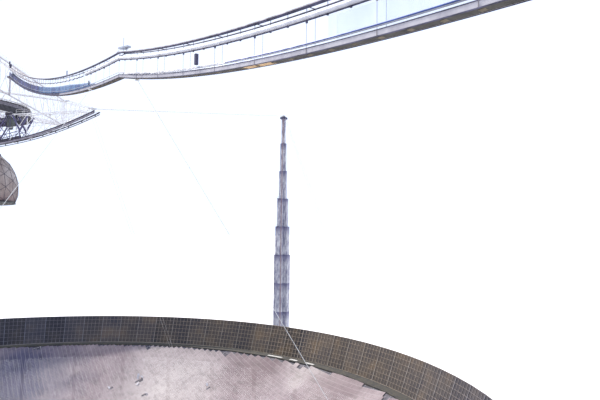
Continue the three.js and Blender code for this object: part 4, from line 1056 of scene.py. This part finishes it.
def platform_side():
    """A lattice truss of the platform with its handrail, on the +X side."""
    truss = Shape("lattice_steel")
    half = CORNER_RADIUS * math.sin(math.radians(60)) - 1.0
    low, high = TRUSS_LOW, TRUSS_HIGH
    centre = (low + high) / 2

    def beam(start, end, size, look=None):
        truss.bar((CORNER_RADIUS / 2, *start), (CORNER_RADIUS / 2, *end), size, look=look)

    for z in (low, high):
        beam((-half, z), (half, z), 0.34, "chord_steel")
    places = [-half + 2 * half * i / PLATFORM_BAYS for i in range(PLATFORM_BAYS + 1)]
    for y in places:
        beam((y, low), (y, high), 0.14)
    for i, (y, following) in enumerate(zip(places, places[1:])):
        first, last = (low, high) if i < PLATFORM_BAYS / 2 else (high, low)
        middle = (y + following) / 2
        beam((y, first), (following, last), 0.14)
        beam((middle, centre), (following, first), 0.12)
        beam((middle, centre), (middle, high), 0.12)
    for height in (HANDRAIL_HEIGHT, HANDRAIL_HEIGHT / 2):
        beam((-half, high + height), (half, high + height), 0.06, "handrail_steel")
    for i in range(4 * PLATFORM_BAYS + 1):
        y = -half + 2 * half * i / (4 * PLATFORM_BAYS)
        beam((y, high), (y, high + HANDRAIL_HEIGHT), 0.05, "handrail_steel")
    return truss


def platform_outrigger():
    """The lattice mast at the platform's +X corner and the outrigger that carries the cables."""
    corner = Shape("lattice_steel")
    x, tip, low, high = CORNER_RADIUS, OUTRIGGER_RADIUS, TRUSS_LOW, TRUSS_HIGH
    for dx, dy in product((-0.5, 0.5), repeat=2):
        corner.bar((x + dx, dy, low), (x + dx, dy, high), 0.14)
    step = (high - low) / MAST_BAYS
    for k in range(MAST_BAYS):
        z = low + (high - low) * k / MAST_BAYS
        for offset in (-0.5, 0.5):
            corner.bar((x + offset, -0.5, z), (x + offset, 0.5, z + step), 0.1)
            corner.bar((x - 0.5, offset, z), (x + 0.5, offset, z + step), 0.1)
    corner.bar((x, -OUTRIGGER_SPREAD, high), (x, OUTRIGGER_SPREAD, high), 0.4, look="chord_steel")
    half = TIE_DOWN_SPREAD + 0.5
    corner.bar((tip, -half, high), (tip, half, high), 0.5, 0.45, "chord_steel")
    rise = Vector((0, 0, HANDRAIL_HEIGHT))
    for side in (-1, 1):
        root = Vector((x, side * (OUTRIGGER_SPREAD - 0.3), high))
        end = Vector((tip, side * TIE_DOWN_SPREAD, high))
        below = Vector((x, 0, low + 0.45))
        upper = [root.lerp(end, k / OUTRIGGER_BAYS) for k in range(OUTRIGGER_BAYS + 1)]
        lower = [below.lerp(end, k / OUTRIGGER_BAYS) for k in range(OUTRIGGER_BAYS + 1)]
        corner.bar(root, end, 0.2)
        corner.bar(below, end, 0.2)
        for k in range(1, OUTRIGGER_BAYS):
            corner.bar(upper[k], lower[k], 0.1)
            corner.bar(upper[k], lower[k - 1], 0.1)
        for start, stop in zip(upper, upper[1:]):
            corner.bar(start, stop * Vector((1, -1, 1)), 0.1)
        corner.bar(root + rise, end + rise, 0.05, look="handrail_steel")
        for foot in upper:
            corner.bar(foot, foot + rise, 0.05, look="handrail_steel")
    return corner


def make_platform():
    """Side trusses, outriggers and the grillage of the floor."""
    for name, angle in SIDE_ANGLES.items():
        piece = platform_side().turned(angle + 180).piece(f"platform_side_{name}", "structure", "steel")
        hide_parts(f"platform_truss_opposite_{name}")
        piece = platform_outrigger().turned(angle).piece(f"platform_outrigger_{name}", "structure", "steel")
        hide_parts(f"platform_corner_{name}")

    floor = Shape("lattice_steel")
    for k in range(-8, 9):
        x = k * 2.1
        near = CORNER_RADIUS / 2 - 0.5
        far = -CORNER_RADIUS + abs(x) * math.tan(math.radians(60)) + 2.0
        if far < near - 1:
            floor.bar((x, far, TRUSS_LOW + 0.1), (x, near, TRUSS_LOW + 0.1), 0.16, 0.35)
    corners = [Vector(around(CORNER_RADIUS - 2.5, angle, TRUSS_HIGH)) for angle in SIDE_ANGLES.values()]
    for k, (a, b) in product(range(7), ((0, 1), (1, 2), (2, 0))):
        start, end = corners[a], corners[b]
        inward = -(start + end).normalized()
        inward.z = 0
        inset = 1.5 + 3.0 * k
        shift = inward * inset
        cut = inset * 1.732
        along = (end - start).normalized()
        if (end - start).length > 2 * cut + 4:
            floor.bar(start + shift + along * cut, end + shift - along * cut, 0.12, 0.16)
    floor.piece("platform_grillage", "structure", "steel")


def make_ring():
    """Ring girder: a dark box chord, a web with stiffeners, a dark flange and open hangers."""
    ring = Shape("lattice_steel")
    inner, outer = RING_RADIUS - RING_WIDTH / 2 + 0.06, RING_RADIUS + RING_WIDTH / 2 - 0.06
    chord_top, flange, hanger_top = RING_BOTTOM + 1.6, RING_BOTTOM + 2.75, PLATFORM_BOTTOM - 0.1
    for degrees in range(0, 360, RING_STEP):
        after = degrees + RING_STEP
        for radius in (inner, outer):
            low, high = around(radius, degrees, chord_top - 0.1), around(radius, degrees, flange)
            ring.bar(low, high, 0.14, look="flange_steel")
            ring.bar(low, around(radius, after, flange), 0.08, look="flange_steel")
            ring.bar(high, around(radius, after, chord_top - 0.1), 0.08, look="flange_steel")
        for z, width, depth, look in (
            (RING_BOTTOM + 0.8, RING_WIDTH - 0.1, 1.55, "shaded_steel"),
            (flange, RING_WIDTH - 0.06, 0.16, "shaded_steel"),
            (PLATFORM_BOTTOM - 0.08, RING_WIDTH * 0.6, 0.14, "lattice_steel"),
            ((chord_top + flange) / 2, 0.06, flange - chord_top, "web_plate"),
        ):
            ring.bar(around(RING_RADIUS, degrees, z), around(RING_RADIUS, after, z), width, depth, look)
        ring.bar(around(inner, degrees, flange), around(outer, after, hanger_top), 0.1)
        ring.bar(around(outer, degrees, flange), around(inner, after, hanger_top), 0.1)
    piece = ring.piece("ring_girder", "structure", "steel")
    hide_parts("azimuth_ring")


def track_z(along):
    """Height of the arm's curved track."""
    return SPHERE_RADIUS - math.sqrt(TRACK_RADIUS**2 - along**2)


def foot_z(along):
    """Height at which the arm's lattice stands on the track girder."""
    return track_z(along) + GIRDER_DEPTH - 0.1


def make_arm():
    """Lattice arm on two slim track girders, with bracing, handrails, trucks and machine houses."""
    for name, side in (("right", -1), ("left", 1)):
        arm = Shape("lattice_steel")
        add_track_girder(arm, side)
        add_arm_lattice(arm, side)
        for end in (-1, 1):
            add_arm_end(arm, side, end)
            add_truck_braces(arm, side, end)
            add_machine_house(arm, side, end)
        piece = arm.turned(ARM_AZIMUTH).piece(f"arm_lattice_{name}", "azimuth_arm", "steel")
        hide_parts(f"arm_truss_{name}")


def add_track_girder(arm, side):
    """A curved girder with two flanges, a web or posts between them, and a cable tray on it."""
    y = side * ARM_HALF_WIDTH
    places = [ARM_HALF_LENGTH * (-1 + 2 * i / TRACK_STEPS) for i in range(TRACK_STEPS + 1)]
    for i, (start, end) in enumerate(zip(places, places[1:])):
        strips = [(y, GIRDER_DEPTH - 0.12, 0.42, 0.22, "girder_steel"), (y, 0.07, 0.3, 0.14, "flange_steel")]
        if max(abs(start), abs(end)) < CABLE_TRAY_REACH:
            strips.append((y - side * 0.3, GIRDER_DEPTH + 0.4, 0.24, 0.7, "girder_steel"))
        if side < 0:
            strips.append((y, GIRDER_DEPTH / 2, 0.06, GIRDER_DEPTH - 0.3, "arm_web"))
        elif i % POST_EVERY == 0:
            z = track_z(start)
            arm.bar((start, y, z + 0.1), (start, y, z + GIRDER_DEPTH - 0.2), 0.2, 0.14, "girder_steel")
        for across, height, width, depth, look in strips:
            ends = [(x, across, track_z(x) + height) for x in (start, end)]
            arm.bar(*ends, width, depth, look)


def add_arm_lattice(arm, side):
    """Posts and crossed braces of one truss, and the cross members between the two."""
    y, top = side * ARM_HALF_WIDTH, ARM_CHORD_Z
    # Lattice members within this reach take the navy brace colour as painted shade
    shaded_reach = TRUCK_X + 4
    places = [ARM_REACH * (-1 + 2 * i / ARM_BAYS) for i in range(ARM_BAYS + 1)]
    arm.bar((-ARM_REACH, y, top), (ARM_REACH, y, top), 0.2)
    for x in places:
        look = "brace_steel" if abs(x) < shaded_reach else "lattice_steel"
        arm.bar((x, y, foot_z(x)), (x, y, top), 0.13, look=look)
        for z in (top, foot_z(x), track_z(x) + 0.3) if side > 0 else ():
            arm.bar((x, 0.2 - ARM_HALF_WIDTH, z), (x, ARM_HALF_WIDTH, z), 0.12)
    for x, after in zip(places, places[1:]):
        look = "brace_steel" if max(abs(x), abs(after)) < shaded_reach else "lattice_steel"
        foot, after_foot = foot_z(x), foot_z(after)
        arm.bar((x, y, foot), (after, y, top), 0.12, look=look)
        arm.bar((x, y, top), (after, y, after_foot), 0.12, look=look)
        arm.bar((x, y, (foot + top) / 2), (after, y, (after_foot + top) / 2), 0.09)
        for near in (-0.9 * ARM_HALF_WIDTH, 0.9 * ARM_HALF_WIDTH) if side > 0 else ():
            arm.bar((x, near, top), (after, -near, top), 0.09)


def add_arm_end(arm, side, end):
    """The sloping end of one truss with its handrail, and a truck with two wheels."""
    y, top = side * ARM_HALF_WIDTH, ARM_CHORD_Z
    tip = ARM_HALF_LENGTH
    rail_start, rail_top = TRUCK_X + 2.5, ARM_TOP + 1.2
    arm.bar((end * ARM_REACH, y, top), (end * tip, y, track_z(tip) + GIRDER_DEPTH), 0.12)
    for z in (ARM_TOP + 0.6, rail_top):
        arm.tube([(end * x, y, z) for x in (rail_start, ARM_REACH)], 0.03, 4, "handrail_steel")
    for x in np.linspace(rail_start, ARM_REACH, 9) * end:
        arm.bar((x, y, top), (x, y, rail_top), 0.05, look="handrail_steel")
    low = (end * TRUCK_X - 1.1, y - 0.35, top - 0.1)
    arm.block(low, (end * TRUCK_X + 1.1, y + 0.35, RING_BOTTOM - 0.3), "girder_steel")
    for x in (end * TRUCK_X - 0.7, end * TRUCK_X + 0.7):
        axle = [(x, across, RING_BOTTOM - 0.27) for across in (y - 0.4, y + 0.4)]
        arm.tube(axle, 0.24, 14, "flange_steel")


def add_truck_braces(arm, side, end):
    """Heavy braces that spread a truck's load into the arm's lattice."""
    outer = (end * (TRUCK_X + 4.0), track_z(TRUCK_X + 4.0) + 2.9)
    inner = (end * (TRUCK_X - 5.0), track_z(TRUCK_X - 5.0) + 2.4)

    def brace(start, stop, width, depth):
        ends = [(x, side * ARM_HALF_WIDTH, z) for x, z in (start, stop)]
        arm.bar(*ends, width, depth, "brace_steel")

    for away, z in ((6.6, ARM_TOP - 0.9), (1.2, ARM_TOP - 0.3)):
        brace((end * (TRUCK_X + away), z), outer, 0.3, 0.42)
    for away in (-0.8, -8.0):
        brace((end * (TRUCK_X + away), ARM_TOP - 0.3), inner, 0.26, 0.32)
    for x, z in (outer, inner):
        for away, size in ((0.0, 0.2), (2.2, 0.14), (-2.2, 0.14)):
            brace((x, z), (x + away, foot_z(x + away)), size, size)
    brace(outer, inner, 0.16, 0.16)


def add_machine_house(arm, side, end):
    """Half of a tapered house between the arm's two trusses, hung from the top chord."""
    middle, half_long, half_wide = end * HOUSE_X, 1.0, ARM_HALF_WIDTH - 0.5
    corners = []
    for drop, share in ((0.1, 1.0), (2.4, 0.92), (4.2, 0.4)):
        long, wide = half_long * share, side * half_wide * share
        for x, y in ((-long, 0), (long, 0), (long, wide), (-long, wide)):
            corners.append((middle + x, y, ARM_CHORD_Z - drop))
    faces = [(0, 1, 2, 3), (11, 10, 9, 8)]
    for row in (0, 4):
        faces += [(row + i, row + (i + 1) % 4, row + 4 + (i + 1) % 4, row + 4 + i) for i in range(4)]
    arm.add(corners, faces, "house_sheet")


def make_dome_seams():
    """A narrow cover strip along each edge between the dome's outer panels."""
    out = DOME_DROP * math.sin(math.radians(DOME_ZENITH))
    centre_z = SPHERE_RADIUS - DOME_DROP * math.cos(math.radians(DOME_ZENITH))
    centre = to_model(around(out, ARM_AZIMUTH, centre_z))
    mesh = NODES["dome_shell"].data
    seams = Shape("girder_steel")
    done = set()
    for edge in mesh.edges:
        ends = [mesh.vertices[i].co for i in edge.vertices]
        if any(abs((end - centre).length / SCALE - DOME_RADIUS) > 0.12 for end in ends):
            continue
        key = tuple(sorted(tuple(round(c, 3) for c in end) for end in ends))
        if key in done or (ends[0] - ends[1]).length < 0.02:
            continue
        done.add(key)
        real = [Vector((end.x / SCALE, end.y / SCALE, end.z / SCALE - VERTEX_HEIGHT)) for end in ends]
        seams.bar(*real, 0.1)
    seams.piece("dome_seams", "dome", "dome")


def make_towers():
    """Ladders, landings and a dark band round the cap of each tower."""
    for name, angle in SIDE_ANGLES.items():
        shape = Shape("grey_steel")
        turn = Matrix.Rotation(math.radians(angle), 3, "Z")

        def bar(start, end, width, depth=None, look=None):
            """A bar between places that count from the tower's axis, X away from the dish."""
            start, end = (turn @ (Vector(place) + Vector((TOWER_RADIUS, 0, 0))) for place in (start, end))
            shape.bar(start, end, width, depth, look)

        ledges = [TOWER_TOP_Z - CAP_HEIGHT]
        for step in range(TOWER_STEPS[name] - 1):
            ledges.append(ledges[-1] - (TOWER_STEP if step else TOWER_FIRST_STEP))
        ledges.append(-VERTEX_HEIGHT)
        for step, (high, low) in enumerate(zip(ledges, ledges[1:])):
            half, arm = TOWER_WIDTHS[step] / 2, TOWER_ARM_WIDTHS[step] / 2
            corner, face, middle = arm + 0.25, -half - 0.08, 0.4 - arm
            for side in (half - 0.35, half - 0.8):
                bar((corner, side, low), (corner, side, high), 0.08)
            for side in (middle - 0.25, middle + 0.25):
                bar((face, side, low), (face, side, high), 0.12, look="rusty_ladder")
            for rung in range(int((high - low) / RUNG_STEP)):
                z = low + RUNG_STEP * (rung + 0.5)
                bar((corner, half - 0.35, z), (corner, half - 0.8, z), 0.05)
                bar((face, middle - 0.25, z), (face, middle + 0.25, z), 0.08, look="rusty_ladder")
            if step > 2:
                edge, rail = -half - 1.0, high + HANDRAIL_HEIGHT
                bar((-half - 0.5, 0.3, high), (-half - 0.5, 1.9, high), 1.0, 0.3, "navy_steel")
                bar((edge, 0.3, rail), (edge, 1.9, rail), 0.06, look="navy_steel")
                for side in (0.3, 1.1, 1.9):
                    bar((edge, side, high), (edge, side, rail), 0.06, look="navy_steel")
        cap, z = CAP_SIZE / 2 + 0.02, TOWER_TOP_Z - CAP_HEIGHT / 2
        for edge in (-cap, cap):
            bar((edge, -cap, z), (edge, cap, z), 0.06, CAP_HEIGHT, "navy_steel")
            bar((-cap, edge, z), (cap, edge, z), 0.06, CAP_HEIGHT, "navy_steel")
        shape.piece(f"tower_ladders_{name}", "structure", "steel")


def dress(look, *names):
    """Gives CAD nodes a finished material, by how their names start."""
    for name, node in NODES.items():
        if name.startswith(names):
            node.data.materials.clear()
            node.data.materials.append(LOOKS[look])


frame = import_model()
NODES = frame["nodes"]

for material in (
    *(plain_metal(name, *values) for name, values in METALS.items()),
    panel_sheet(),
    batten_strip(),
    stained_concrete("tower_concrete", (0.6, 0.6, 0.62), (0.34, 0.345, 0.39), (0.09, 0.085, 0.18), True),
    # Rim concrete, nearly black as painted shade along the rim beam; the blocks and anchors take the same
    # colour
    stained_concrete("rim_concrete_painted_shade", (0.075, 0.068, 0.048), (0.036, 0.036, 0.034), (0.014, 0.016, 0.024)),
    screen_mesh(),
    screen_wire("screen_wire", (0.44, 0.37, 0.31), (0.25, 0.21, 0.18)),
    screen_wire("screen_posts", (0.4, 0.36, 0.33), (0.25, 0.22, 0.2)),
    dome_sheet(),
    netting("netting", (0.35, 0.47, 0.66), (0.62, 0.72, 0.84), 0.22),
    # Blue netting near the platform darkened as painted shade, its darkest part nearest the platform
    netting("blue_mesh_painted_shade", (0.025, 0.055, 0.2), (0.11, 0.23, 0.4), 0.8),
    netting("mesh_painted_deep_shade", (0.01, 0.014, 0.06), (0.06, 0.08, 0.24), 0.95),
    pale_floor(),
):
    LOOKS[material.name] = material

dress("panel_sheet", "reflector")
dress("rim_concrete_painted_shade", "centre_block", "anchor", "tie_down_block", "rim_beam")
dress("tower_concrete", "south_tower", "east_tower", "west_tower")
dress("cable_steel", "main_cables", "backstays", "tie_down_cables", "catwalk_guy")
dress("dark_steel", "azimuth", "arm", "line_feed", "dome_carriage")
dress("lattice_steel", "platform")
dress("dome_sheet", "dome_shell")
dress("house_sheet", "dome_floor")
dress("pale_boards", "catwalk_platform", "catwalk_tower")
dress("wire_steel", "ground_screen")

make_camera()
make_light()
make_floor()
make_dish()
make_dish_battens()
make_loose_panels()
make_dish_net()
make_painted_edge_shade()
make_rim_slabs()
make_screen()
make_catwalk_deck()
make_catwalk_rails()
make_catwalk_duct()
make_catwalk_netting()
make_catwalk_fittings()
make_towers()
make_cables()
make_platform()
make_ring()
make_arm()
make_dome_seams()
